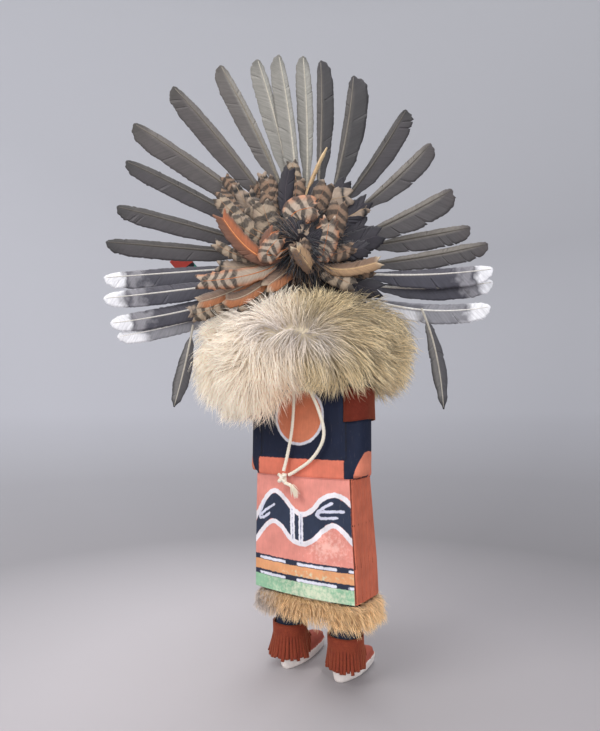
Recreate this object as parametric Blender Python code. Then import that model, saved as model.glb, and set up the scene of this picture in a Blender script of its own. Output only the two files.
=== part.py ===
"""Kachina doll: a carved and painted cottonwood figure with a feather fan headdress,
a crest of short feathers, a fur ruff, suede armbands and fringed moccasin cuffs.

The doll faces -Y and stands on Z = 0. Its right hand is on -X.
Sizes below are in millimetres and MM turns them into metres.
"""

import math

import bmesh
import bpy
from mathutils import Vector

for old in list(bpy.data.objects):
    bpy.data.objects.remove(old, do_unlink=True)

MM = 0.001
GAP = 0.3

# Head frame: u runs to the doll's left, n runs out of the back of the head
HEAD_X = 2.5
HEAD_TURN = math.radians(-34.0)
HEAD_RADIUS = 27.0
HEAD_CHIN_Z = 220.0
HEAD_TOP_Z = 298.5
NECK_RADIUS = 15.0

# Kilt, sash and torso
HEM_Z = 54.0
KILT_TOP_Z = 128.2
KILT_RIBS = 27
RIB_DEPTH = 0.9
RIB_HALF_WIDTH = 0.7
PANEL_RAISE = 1.0
PANEL_BULGE = 3.4
SASH_BOTTOM_Z = 127.5
SASH_TOP_Z = 139.3
TORSO_X = 3.0
TORSO_HALF_WIDTH = 33.5
SHOULDER_Z = 212.0

# Arms
ARM_SPREAD = 36.5
ARM_HALF_WIDTH = 7.6
ARM_HALF_DEPTH = 9.4
ARM_SQUARENESS = 2.7
ELBOW_Y = 10.0
ELBOW_Z = 138.0
FOREARM_RADIUS = 7.8
RIGHT_HAND = Vector((-11.0, -26.0, 167.0))
LEFT_HAND = Vector((52.0, -42.0, 186.0))

# Legs and moccasins
LEG_RADIUS = 9.6
LEFT_LEG = (23.7, 2.0)
RIGHT_LEG = (-19.5, 2.0)
SOLE_HEIGHT = 6.4
SHOE_HALF_WIDTH = 8.4
# Heel x, heel y, length, turn of the toe
LEFT_SHOE = (21.8, 13.0, 52.0, math.radians(2.0))
RIGHT_SHOE = (-16.6, 10.0, 45.0, math.radians(-3.0))

# Suede cuffs on the legs
CUFF_TOP_Z = 28.6
CUFF_BAND_Z = 22.5
CUFF_WALL = 1.3
CUFF_STRIPS = 16
CUFF_FRONT_RISE = 9.8

# Suede armbands
ARMBAND_TOP_Z = 185.0
ARMBAND_BOTTOM_Z = 164.0
ARMBAND_WALL = 1.2
ARM_ROOM = 3.6

# Fan feathers
FAN_U = 3.0
FAN_Z = 271.0
FAN_LAYERS = (20.0, 22.6, 25.2)
QUILL_RADIUS = 0.9
FAN_ROOT_RADIUS = 20.0

# Feather crest
CREST_U = 10.0
CREST_Z = 273.0
CREST_RADIUS = 19.0
CREST_BASE_N = 27.6
CREST_DEPTH = 28.0

# Tie string
STRING_RADIUS = 1.2
KNOT_CENTRE = Vector((11.5, 28.2, 126.9))


def to_world(u, n, z):
    """Place a point of the turned head frame in the doll's frame."""
    c = math.cos(HEAD_TURN)
    s = math.sin(HEAD_TURN)
    return Vector((HEAD_X + u * c + n * s, -u * s + n * c, z))


def make_object(name, verts, faces):
    """Make one mesh object from points in millimetres, with its faces turned outwards."""
    mesh = bpy.data.meshes.new(name)
    mesh.from_pydata([tuple(Vector(v) * MM) for v in verts], [], faces)
    bm = bmesh.new()
    bm.from_mesh(mesh)
    bmesh.ops.recalc_face_normals(bm, faces=bm.faces)
    bm.to_mesh(mesh)
    bm.free()
    obj = bpy.data.objects.new(name, mesh)
    bpy.context.collection.objects.link(obj)
    return obj


def loft(name, rings):
    """Join closed rings of equal length into a capped solid."""
    count = len(rings[0])
    verts = [p for ring in rings for p in ring]
    faces = []
    for r in range(len(rings) - 1):
        for i in range(count):
            j = (i + 1) % count
            faces.append((r * count + i, r * count + j, (r + 1) * count + j, (r + 1) * count + i))
    faces.append(tuple(range(count)))
    faces.append(tuple((len(rings) - 1) * count + i for i in range(count)))
    return make_object(name, verts, faces)


def combine(target, other, operation):
    """Add a Boolean of another object, which is then only a cutter."""
    mod = target.modifiers.new(operation.lower(), "BOOLEAN")
    mod.operation = operation
    mod.solver = "EXACT"
    mod.object = other
    other.hide_render = True
    other.display_type = "WIRE"


def ellipse(cx, cy, z, rx, ry, count, power=2.0):
    """A level ring, squarer as the power rises."""
    ring = []
    for i in range(count):
        a = 2.0 * math.pi * i / count
        c = math.cos(a)
        s = math.sin(a)
        x = math.copysign(abs(c) ** (2.0 / power), c) * rx
        y = math.copysign(abs(s) ** (2.0 / power), s) * ry
        ring.append(Vector((cx + x, cy + y, z)))
    return ring


def side_path(half_width, back, front, corner_back, corner_front):
    """Points from the left back corner round the front to the right back corner."""
    steps = 10
    path = []
    corners = (
        (half_width - corner_back, back - corner_back, corner_back, 90.0, 0.0),
        (half_width - corner_front, front + corner_front, corner_front, 0.0, -90.0),
        (-half_width + corner_front, front + corner_front, corner_front, -90.0, -180.0),
        (-half_width + corner_back, back - corner_back, corner_back, -180.0, -270.0),
    )
    for cx, cy, radius, start, end in corners:
        for i in range(steps + 1):
            a = math.radians(start + (end - start) * i / steps)
            path.append((cx + radius * math.cos(a), cy + radius * math.sin(a)))
    return path


def walk(path, fraction):
    """The point and outward normal at a fraction of a path's length."""
    lengths = [0.0]
    for a, b in zip(path, path[1:]):
        lengths.append(lengths[-1] + math.hypot(b[0] - a[0], b[1] - a[1]))
    want = fraction * lengths[-1]
    for i in range(len(path) - 1):
        if lengths[i + 1] >= want and lengths[i + 1] > lengths[i]:
            break
    t = (want - lengths[i]) / (lengths[i + 1] - lengths[i])
    ax, ay = path[i]
    bx, by = path[i + 1]
    size = math.hypot(bx - ax, by - ay)
    normal = (-(by - ay) / size, (bx - ax) / size)
    return (ax + (bx - ax) * t, ay + (by - ay) * t), normal, lengths[-1]


def body_ring(z, cx, half_width, back, front, corner_back, corner_front, bulge=0.0, grow=0.0):
    """A smooth trunk section with a slightly rounded back; a grown one has fewer points."""
    path = side_path(half_width + grow, back + grow, front - grow, corner_back + grow, corner_front + grow)
    ring = []
    around = 20 if grow else 30
    for i in range(around + 1):
        (x, y), _, _ = walk(path, i / around)
        ring.append(Vector((cx + x, y, z)))
    across = 3 if grow else 8
    for i in range(1, across):
        f = -1.0 + 2.0 * i / across
        x = f * (half_width - corner_back)
        ring.append(Vector((cx + x, back + grow + bulge * (1.0 - f * f), z)))
    return ring


def kilt_ring(z, right, left, back, front, corner_front):
    """A kilt section: a raised, slightly round back panel and a ribbed side and front."""
    cx = (left + right) / 2.0
    half_width = (left - right) / 2.0
    wall_back = back - PANEL_RAISE
    path = side_path(half_width, wall_back, front, 1.6, corner_front)
    total = walk(path, 0.0)[2]
    ring = [Vector((left - 0.7, wall_back, z))]
    for k in range(KILT_RIBS + 1):
        middle = (k + 0.5) / (KILT_RIBS + 1)
        for offset, inset in ((-RIB_HALF_WIDTH, 0.0), (0.0, RIB_DEPTH), (RIB_HALF_WIDTH, 0.0)):
            (x, y), (nx, ny), _ = walk(path, middle + offset / total)
            ring.append(Vector((cx + x - nx * inset, y - ny * inset, z)))
    ring.append(Vector((right + 1.3, wall_back, z)))
    across = 14
    panel_middle = (left - 0.7 + right + 1.3) / 2.0
    panel_half = (left - 0.7 - right - 1.3) / 2.0
    for i in range(across + 1):
        f = -1.0 + 2.0 * i / across
        ring.append(Vector((panel_middle + f * panel_half, back + PANEL_BULGE * (1.0 - f * f), z)))
    return ring


def tube_rings(points, radii, count, phase=0.0):
    """Round rings across a path of points."""
    rings = []
    side = None
    for i, p in enumerate(points):
        a = points[max(i - 1, 0)]
        b = points[min(i + 1, len(points) - 1)]
        along = (b - a).normalized()
        if side is None:
            start = Vector((0.0, 0.0, 1.0)) if abs(along.z) < 0.9 else Vector((0.0, 1.0, 0.0))
            side = along.cross(start).normalized()
        side = (side - along * side.dot(along)).normalized()
        up = along.cross(side)
        radius = radii[i]
        wide, high = radius if isinstance(radius, tuple) else (radius, radius)
        ring = []
        for k in range(count):
            t = phase + 2.0 * math.pi * k / count
            ring.append(p + side * wide * math.cos(t) + up * high * math.sin(t))
        rings.append(ring)
    return rings


def bezier(a, b, c, t):
    """A point on a curve from a to c that leans towards b."""
    return a * (1.0 - t) ** 2 + b * 2.0 * t * (1.0 - t) + c * t * t


def make_torso(name, grow):
    """The trunk between the sash and the neck."""
    c = TORSO_X
    w = TORSO_HALF_WIDTH
    sizes = (
        (130.0 - grow, w - 1.0, 20.8, -14.5),
        (160.0, w, 21.2, -15.0),
        (190.0, w + 0.5, 19.8, -15.0),
        (202.0, w - 1.0, 17.0, -13.5),
        (SHOULDER_Z - 3.5 + grow, w - 7.0, 14.5, -11.0),
        (SHOULDER_Z + grow, w - 13.0, 11.0, -8.0),
    )
    room = 3.5 * grow
    rings = [body_ring(z, c, a, b, f, 3.5, 10.0, 1.8, room) for z, a, b, f in sizes]
    return loft(name, rings)


def make_upper_arm(name, side, grow):
    """One upper arm, close against the trunk."""
    rings = []
    for z, out, rx, ry, y in (
        (129.5 - grow, 1.0, 5.5, 6.5, 12.5),
        (133.0 - grow, 0.3, 7.6, 8.8, 11.0),
        (140.0, 0.0, ARM_HALF_WIDTH, ARM_HALF_DEPTH, ELBOW_Y),
        (170.0, 0.0, ARM_HALF_WIDTH, ARM_HALF_DEPTH, 9.6),
        (192.0, -0.8, ARM_HALF_WIDTH, ARM_HALF_DEPTH, 8.0),
        (201.0 + grow, -3.0, 8.0, 9.0, 5.0),
        (206.5 + grow, -6.0, 5.5, 6.5, 4.5),
    ):
        rings.append(ellipse(TORSO_X + side * (ARM_SPREAD + out), y, z, rx + grow, ry + grow, 12 if grow else 24, ARM_SQUARENESS))
    return loft(name, rings)


def make_forearm(name, side, hand, grow):
    """One forearm, bent up to the front and ending in a closed fist."""
    elbow = Vector((TORSO_X + side * ARM_SPREAD, ELBOW_Y + 1.5, ELBOW_Z))
    along = (hand - elbow).normalized()
    reach = (hand - elbow).length
    stops = (
        (-7.4, 3.2), (-5.6, 5.6), (-2.0, 7.3), (4.0, FOREARM_RADIUS), (reach * 0.55, 7.6),
        (reach - 13.0, 6.6), (reach - 9.0, 8.4), (reach, 9.6), (reach + 6.0, 8.6), (reach + 9.5, 5.0),
    )
    points = [elbow + along * d for d, _ in stops]
    radii = [r + grow for _, r in stops]
    return loft(name, tube_rings(points, radii, 16))


def make_neck(name, grow):
    """The neck, hidden by the ruff."""
    return loft(name, [ellipse(HEAD_X, 0.0, z, NECK_RADIUS + 2.0 * grow, NECK_RADIUS + 2.0 * grow, 16) for z in (200.0, 226.0)])


def make_head(name, grow):
    """The case mask: an upright cylinder with rounded rims."""
    rings = []
    r = HEAD_RADIUS
    for z, radius in (
        (HEAD_CHIN_Z - grow, r - 4.0), (HEAD_CHIN_Z + 2.5, r - 0.8), (HEAD_CHIN_Z + 6.0, r),
        (HEAD_TOP_Z - 8.0, r), (HEAD_TOP_Z - 3.0, r - 1.2), (HEAD_TOP_Z + grow, r - 5.0),
    ):
        ring = []
        count = 16 if grow else 32
        room = 4.0 * grow
        for i in range(count):
            a = 2.0 * math.pi * i / count
            ring.append(to_world((radius + room) * math.cos(a), (radius + room) * math.sin(a), z))
        rings.append(ring)
    return loft(name, rings)


def shoe_outline(z, shoe, inset, toe_pull):
    """A moccasin outline: narrow heel, wider ball, round toe."""
    x0, heel_y, full_length, turn = shoe
    ring = []
    count = 22
    length = full_length - toe_pull
    for i in range(count):
        a = 2.0 * math.pi * i / count
        along = 0.5 - 0.5 * math.cos(a)
        width = SHOE_HALF_WIDTH * (0.86 + 0.14 * math.sin(math.pi * min(1.0, along * 1.25)))
        x = math.copysign(abs(math.sin(a)) ** 0.72, math.sin(a)) * (width - inset)
        y = -inset - along * (length - 2.0 * inset)
        px = x * math.cos(turn) - y * math.sin(turn)
        py = x * math.sin(turn) + y * math.cos(turn)
        ring.append(Vector((x0 + px, heel_y + py, z)))
    return ring


def make_shoe(name, shoe):
    """One sole with its upper, carved with the leg."""
    sole = loft(name + "_sole", [
        shoe_outline(0.0, shoe, 1.9, 0.0),
        shoe_outline(1.4, shoe, 1.0, 0.0),
        shoe_outline(SOLE_HEIGHT, shoe, 0.0, 0.0),
    ])
    upper = loft(name + "_upper", [
        shoe_outline(SOLE_HEIGHT - 1.0, shoe, 0.9, 0.0),
        shoe_outline(10.0, shoe, 1.1, 1.5),
        shoe_outline(12.8, shoe, 1.8, 8.0),
        shoe_outline(15.0, shoe, 2.6, 20.0),
        shoe_outline(17.5, shoe, 3.6, 29.0),
    ])
    return sole, upper


# Carved figure
figure = loft("figure", [
    kilt_ring(HEM_Z, -38.2, 38.9, 21.5, -18.5, 14.0),
    kilt_ring(75.0, -37.6, 39.0, 21.5, -17.8, 14.0),
    kilt_ring(100.0, -35.9, 39.2, 21.0, -16.6, 13.5),
    kilt_ring(KILT_TOP_Z, -34.3, 39.3, 20.2, -15.0, 13.0),
])
sash = loft("sash_form", [
    body_ring(SASH_BOTTOM_Z, 2.6, 36.6, 20.9, -16.0, 2.0, 13.0, 3.4),
    body_ring(SASH_BOTTOM_Z + 1.0, 2.6, 37.3, 21.4, -16.6, 2.0, 13.0, 3.4),
    body_ring(SASH_TOP_Z - 1.0, 2.8, 37.3, 21.6, -16.6, 2.0, 13.0, 2.8),
    body_ring(SASH_TOP_Z, 2.8, 36.7, 21.2, -16.0, 2.0, 13.0, 2.6),
])
parts = [sash, make_torso("torso_form", 0.0)]
parts.append(make_upper_arm("right_upper_arm_form", -1.0, 0.0))
parts.append(make_upper_arm("left_upper_arm_form", 1.0, 0.0))
parts.append(make_forearm("right_forearm_form", -1.0, RIGHT_HAND, 0.0))
parts.append(make_forearm("left_forearm_form", 1.0, LEFT_HAND, 0.0))
parts.append(make_neck("neck_form", 0.0))
parts.append(make_head("head_form", 0.0))
for label, leg, shoe in (("left", LEFT_LEG, LEFT_SHOE), ("right", RIGHT_LEG, RIGHT_SHOE)):
    parts.append(loft(label + "_leg_form", [
        ellipse(leg[0], leg[1], z, LEG_RADIUS, LEG_RADIUS, 20) for z in (9.0, 60.0)
    ]))
    parts.extend(make_shoe(label + "_shoe_form", shoe))
for form in parts:
    combine(figure, form, "UNION")

# Wand in the left fist
WAND_AXIS = Vector((0.420, 0.529, 0.738)).normalized()
WAND_FACE = WAND_AXIS.cross(Vector((0.5586, -0.8250, 0.0))).normalized()
WAND_NORMAL = WAND_AXIS.cross(WAND_FACE)
WAND_STOPS = ((-27.0, 2.3, 2.3), (-25.0, 2.8, 2.8), (16.0, 2.8, 2.8), (34.0, 6.0, 2.7), (128.0, 6.8, 2.7), (138.0, 6.8, 2.7))


def wand_rings(extra, stops):
    """Eight-sided sections along the wand."""
    rings = []
    for d, wide, thick in stops:
        centre = LEFT_HAND + WAND_AXIS * d
        ring = []
        for k in range(8):
            a = math.pi / 8 + math.pi * k / 4
            c = math.cos(a) / math.cos(math.pi / 8)
            s = math.sin(a) / math.cos(math.pi / 8)
            ring.append(centre + WAND_FACE * (wide + extra) * c + WAND_NORMAL * (thick + extra) * s)
        rings.append(ring)
    return rings


wand = loft("wand", wand_rings(0.0, WAND_STOPS))
wand_hole = loft("wand_hole", wand_rings(GAP, ((-20.0, 2.8, 2.8), (15.5, 2.8, 2.8))))
combine(figure, wand_hole, "DIFFERENCE")


def feather(name, points, half_left, half_right, thick, spine=QUILL_RADIUS):
    """A thin blade with a raised shaft, lying in the head's own plane."""
    out = to_world(0.0, 1.0, 0.0) - to_world(0.0, 0.0, 0.0)
    rings = []
    for i, p in enumerate(points):
        a = points[max(i - 1, 0)]
        b = points[min(i + 1, len(points) - 1)]
        along = (b - a).normalized()
        side = out.cross(along).normalized()
        rings.append([
            p + side * half_left[i], p + out * thick[i],
            p - side * half_right[i], p - out * thick[i],
        ])
    return loft(name, rings)


# Fan of wing and tail feathers, left to right seen from behind: direction of the root from
# the fan's centre in degrees, tip (u, z), bow of the shaft, narrow vane, wide vane
FAN = (
    (-50.0, 132.0, 218.5, -4.6, 5.0, 6.8), (-45.0, 136.0, 227.0, -4.0, 5.5, 7.5),
    (-38.0, 140.0, 243.0, -1.0, 4.5, 8.0), (-13.0, 142.0, 258.0, 0.0, 3.6, 9.0),
    (1.5, 140.5, 281.5, 0.0, 3.4, 8.8), (5.0, 133.0, 304.5, 1.0, 3.4, 8.8),
    (22.5, 129.5, 338.0, 2.0, 3.4, 8.8), (45.0, 124.0, 363.0, 2.0, 3.4, 11.6),
    (43.5, 97.5, 387.5, 2.5, 3.4, 10.8), (62.0, 66.5, 406.0, 2.5, 3.2, 10.0),
    (60.0, 41.0, 408.5, 2.5, 3.2, 8.8), (61.0, 26.5, 410.0, 2.5, 3.2, 8.6),
    (72.5, 10.0, 412.5, 2.5, 4.4, 6.6), (90.5, -2.0, 407.5, 2.5, 3.3, 8.2),
    (105.5, -24.0, 395.0, 3.5, 3.3, 11.8), (100.0, -60.0, 374.0, 3.5, 3.3, 10.0),
    (114.0, -75.5, 349.0, 3.5, 3.3, 10.2), (153.5, -88.5, 316.0, 2.0, 3.3, 12.4),
    (163.0, -101.5, 292.0, 0.5, 3.4, 9.6), (197.5, -112.0, 280.0, 2.0, 3.4, 8.8),
    (212.0, -114.0, 262.5, 3.0, 3.8, 9.6), (225.5, -115.5, 255.0, 5.0, 4.0, 8.4),
    (240.0, -112.5, 238.0, 9.0, 4.4, 8.8),
)
FAN_LEFT_COUNT = 13
FAN_SECTIONS = (
    (0.0, 0.0), (0.10, 0.0), (0.24, 0.42), (0.42, 0.82), (0.62, 1.0), (0.82, 0.97), (0.93, 0.75), (0.98, 0.42), (1.0, 0.08),
)


def fan_shaft(root_degrees, tip_u, tip_z, bow, layer):
    """Three bezier points of a shaft and where along it the quill leaves the mask."""
    angle = math.radians(root_degrees)
    root = Vector((FAN_U + FAN_ROOT_RADIUS * math.cos(angle), FAN_Z + FAN_ROOT_RADIUS * math.sin(angle)))
    tip = Vector((tip_u, tip_z))
    across = Vector((root.y - tip.y, tip.x - root.x)).normalized()
    bend = (root + tip) / 2.0 + across * (2.0 * bow)
    start = 0.0
    for step in range(100):
        p = bezier(root, bend, tip, step * 0.005)
        clear_side = math.hypot(p.x, layer) > HEAD_RADIUS + GAP + QUILL_RADIUS
        clear_top = p.y > HEAD_TOP_Z + GAP + QUILL_RADIUS
        if not (clear_side or clear_top):
            start = (step + 1) * 0.005
    return root, bend, tip, start


for index, (root_degrees, tip_u, tip_z, bow, narrow, wide) in enumerate(FAN):
    layer = FAN_LAYERS[index % 3]
    root, bend, tip, start = fan_shaft(root_degrees, tip_u, tip_z, bow, layer)
    points = []
    lefts = []
    rights = []
    thicks = []
    for fraction, width in FAN_SECTIONS:
        p = bezier(root, bend, tip, start + (1.0 - start) * fraction)
        points.append(to_world(p.x, layer, p.y))
        narrow_half = max(QUILL_RADIUS, narrow * width)
        wide_half = max(QUILL_RADIUS, wide * width)
        lefts.append(wide_half if index < FAN_LEFT_COUNT else narrow_half)
        rights.append(narrow_half if index < FAN_LEFT_COUNT else wide_half)
        thicks.append(QUILL_RADIUS * (1.0 - 0.6 * fraction))
    feather("fan_feather_%02d" % (index + 1), points, lefts, rights, thicks)

# Hanging feathers under the ends of the fan: distance behind the head, points (u, z) from top to tip, half width
HANGING = (
    ("hanging_feather_left", 22.0, ((82.0, 226.0), (86.0, 200.0), (93.5, 172.5)), 5.2),
    ("hanging_feather_right", 26.5, ((-66.5, 236.0), (-77.5, 211.5), (-79.5, 171.0)), 4.8),
)
HANGING_SECTIONS = ((0.0, 0.16), (0.12, 0.2), (0.26, 0.6), (0.5, 0.95), (0.72, 1.0), (0.92, 0.55), (1.0, 0.08))
for name, n, control, half in HANGING:
    a, b, c = [to_world(u, n, z) for u, z in control]
    points = [bezier(a, b, c, t) for t, _ in HANGING_SECTIONS]
    lefts = [half * w for _, w in HANGING_SECTIONS]
    thicks = [0.9 - 0.5 * t for t, _ in HANGING_SECTIONS]
    feather(name, points, lefts, lefts, thicks)

# Crest core: the bound quill ends and down that the short feathers spring from


def crest_radius(n):
    """Radius of the domed core at a distance behind the head."""
    f = (n - CREST_BASE_N) / CREST_DEPTH
    return CREST_RADIUS * math.sqrt(max(0.0, 1.0 - f * f))


core_rings = []
for step in (0.0, 0.2, 0.4, 0.6, 0.75, 0.87, 0.95, 0.985):
    n = CREST_BASE_N + CREST_DEPTH * step
    r = crest_radius(n)
    core_rings.append([
        to_world(CREST_U + r * math.cos(math.pi * k / 10), n, CREST_Z + r * math.sin(math.pi * k / 10))
        for k in range(20)
    ])
loft("crest_down", core_rings)

# Crest feathers: distance of the root and of the blade behind the head, bend point, tip, half width
CREST = (
    (50.0, 53.7, (38.0, 250.0), (64.0, 295.0), 5.2),
    (50.0, 55.3, (41.0, 261.0), (26.0, 281.0), 4.2),
    (53.0, 57.3, (44.0, 254.0), (21.5, 276.0), 5.6),
    (42.0, 42.0, (43.0, 256.0), (67.0, 261.0), 4.4),
    (47.0, 48.0, (44.0, 256.0), (68.5, 276.0), 3.2),
    (45.0, 50.4, (38.0, 249.0), (80.0, 248.0), 5.2),
    (36.0, 36.0, (50.0, 238.0), (88.0, 231.0), 4.2),
    (39.0, 39.0, (54.0, 241.0), (80.5, 237.0), 4.4),
    (33.0, 33.0, (47.0, 296.0), (55.0, 320.0), 3.2),
    (40.5, 40.5, (38.0, 285.0), (46.0, 313.0), 3.9),
    (46.5, 46.5, (46.0, 280.0), (66.0, 306.0), 4.7),
    (30.0, 30.0, (28.0, 303.0), (44.0, 320.0), 4.6),
    (43.5, 43.5, (22.0, 291.0), (47.0, 299.0), 7.2),
    (48.0, 48.0, (25.0, 297.0), (17.5, 324.0), 4.4),
    (31.5, 31.5, (12.0, 312.0), (18.5, 336.0), 4.3),
    (34.5, 34.5, (10.5, 310.0), (-5.5, 340.5), 1.3),
    (51.5, 54.9, (23.0, 292.0), (-0.5, 293.0), 8.8),
    (45.0, 45.0, (8.0, 304.0), (-12.5, 289.0), 5.6),
    (37.5, 37.5, (4.0, 305.0), (-23.5, 307.0), 6.9),
    (51.0, 53.7, (-4.0, 256.0), (-4.5, 285.0), 4.8),
    (44.0, 58.6, (3.0, 250.5), (16.5, 270.0), 4.6),
    (47.0, 48.0, (-9.0, 250.0), (-41.5, 263.0), 4.2),
)
CREST_SECTIONS = ((0.0, 0.0), (0.16, 0.18), (0.34, 0.75), (0.58, 1.0), (0.80, 0.92), (0.94, 0.58), (1.0, 0.12))
for index, (root_n, n, bend, tip, half) in enumerate(CREST):
    away = math.atan2(bend[1] - CREST_Z, bend[0] - CREST_U)
    root = crest_radius(root_n) + GAP + 0.2
    a = to_world(CREST_U + root * math.cos(away), root_n, CREST_Z + root * math.sin(away))
    b = to_world(bend[0], n, bend[1])
    c = to_world(tip[0], n, tip[1])
    points = [bezier(a, b, c, t) for t, _ in CREST_SECTIONS]
    halves = [max(0.5, half * w) for _, w in CREST_SECTIONS]
    thicks = [0.5 - 0.25 * t for t, _ in CREST_SECTIONS]
    feather("crest_feather_%02d" % (index + 1), points, halves, halves, thicks)


def make_armband(name, side):
    """A strip of suede bent round the outside of an upper arm."""
    rings = []
    for i in range(13):
        a = math.radians(-22.0 + 182.0 * i / 12)
        c = math.copysign(abs(math.cos(a)) ** (2.0 / ARM_SQUARENESS), math.cos(a))
        s = math.copysign(abs(math.sin(a)) ** (2.0 / ARM_SQUARENESS), math.sin(a))
        ring = []
        for z, flare in ((ARMBAND_BOTTOM_Z, 1.1), (ARMBAND_TOP_Z, 0.0)):
            for wall in (GAP + 0.1, GAP + 0.1 + ARMBAND_WALL):
                rx = ARM_HALF_WIDTH + wall + flare * max(0.0, s)
                ry = ARM_HALF_DEPTH + wall + 0.6
                cx = TORSO_X + side * ARM_SPREAD
                cy = 9.6 if z < 175.0 else 8.9
                ring.append(Vector((cx + side * rx * s, cy + ry * c, z)))
        rings.append([ring[0], ring[1], ring[3], ring[2]])
    return loft(name, rings)


# Fur ruff round the neck


def smooth_table(table, degrees):
    """Read a table of angle and values with soft steps between the rows."""
    degrees = degrees % 360.0
    for row, after in zip(table, table[1:]):
        if row[0] <= degrees <= after[0]:
            t = (degrees - row[0]) / (after[0] - row[0])
            t = t * t * (3.0 - 2.0 * t)
            return [x + (y - x) * t for x, y in zip(row[1:], after[1:])]
    return list(table[0][1:])


# Angle from the back of the head towards the doll's left: middle radius, half depth, middle height, half height
RUFF = (
    (0.0, 38.0, 18.5, 216.0, 22.0),
    (22.0, 39.0, 17.5, 217.0, 21.0),
    (50.0, 45.0, 22.5, 206.0, 30.0),
    (90.0, 50.0, 24.0, 206.0, 28.0),
    (135.0, 40.0, 17.0, 207.0, 21.0),
    (180.0, 33.0, 13.5, 209.0, 17.5),
    (225.0, 33.0, 14.5, 210.0, 19.0),
    (270.0, 37.0, 18.5, 212.0, 23.0),
    (310.0, 38.0, 19.0, 212.0, 26.0),
    (335.0, 38.0, 18.5, 213.0, 25.0),
    (360.0, 38.0, 18.5, 216.0, 22.0),
)
ruff_verts = []
ruff_faces = []
RUFF_AROUND = 30
RUFF_ACROSS = 10
for i in range(RUFF_AROUND):
    degrees = 360.0 * i / RUFF_AROUND
    middle, deep, height, tall = smooth_table(RUFF, degrees)
    a = math.radians(degrees)
    lump = 1.0 + 0.035 * math.sin(5.0 * a + 0.7) + 0.025 * math.sin(9.0 * a + 2.0)
    for k in range(RUFF_ACROSS):
        b = 2.0 * math.pi * k / RUFF_ACROSS
        r = middle + deep * lump * math.cos(b)
        z = height + tall * lump * math.sin(b)
        ruff_verts.append(to_world(r * math.sin(a), r * math.cos(a), z))
        j = (i + 1) % RUFF_AROUND
        m = (k + 1) % RUFF_ACROSS
        ruff_faces.append((
            i * RUFF_ACROSS + k, j * RUFF_ACROSS + k, j * RUFF_ACROSS + m, i * RUFF_ACROSS + m,
        ))
ruff = make_object("fur_ruff", ruff_verts, ruff_faces)
for cutter in (
    make_torso("torso_room", GAP), make_neck("neck_room", GAP), make_head("head_room", GAP),
    make_upper_arm("right_arm_room", -1.0, ARM_ROOM), make_upper_arm("left_arm_room", 1.0, ARM_ROOM),
):
    combine(ruff, cutter, "DIFFERENCE")

# Fur strip under the kilt hem
HEM_FUR_HALF_DEPTH = 4.4
HEM_FUR_HALF_HEIGHT = 7.2
hem_verts = []
hem_faces = []
HEM_AROUND = 40
HEM_ACROSS = 6
hem_middle = side_path(37.0, 20.2, -15.8, 7.0, 14.0)
hem_middle = hem_middle + [hem_middle[0]]
for i in range(HEM_AROUND):
    (x, y), (nx, ny), _ = walk(hem_middle, i / HEM_AROUND)
    lump = 1.0 + 0.06 * math.sin(2.0 * math.pi * 7.0 * i / HEM_AROUND)
    for k in range(HEM_ACROSS):
        b = 2.0 * math.pi * (k + 0.5) / HEM_ACROSS
        d = HEM_FUR_HALF_DEPTH * lump * math.cos(b) / math.cos(math.pi / HEM_ACROSS)
        z = HEM_Z - GAP - HEM_FUR_HALF_HEIGHT + HEM_FUR_HALF_HEIGHT * math.sin(b)
        hem_verts.append(Vector((x + nx * d, y + ny * d, z)))
        j = (i + 1) % HEM_AROUND
        m = (k + 1) % HEM_ACROSS
        hem_faces.append((i * HEM_ACROSS + k, j * HEM_ACROSS + k, j * HEM_ACROSS + m, i * HEM_ACROSS + m))
hem_fur = make_object("hem_fur", hem_verts, hem_faces)
for label, leg in (("left", LEFT_LEG), ("right", RIGHT_LEG)):
    room = loft(label + "_leg_room", [
        ellipse(leg[0], leg[1], z, LEG_RADIUS + GAP, LEG_RADIUS + GAP, 20) for z in (20.0, 62.0)
    ])
    combine(hem_fur, room, "DIFFERENCE")


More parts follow.
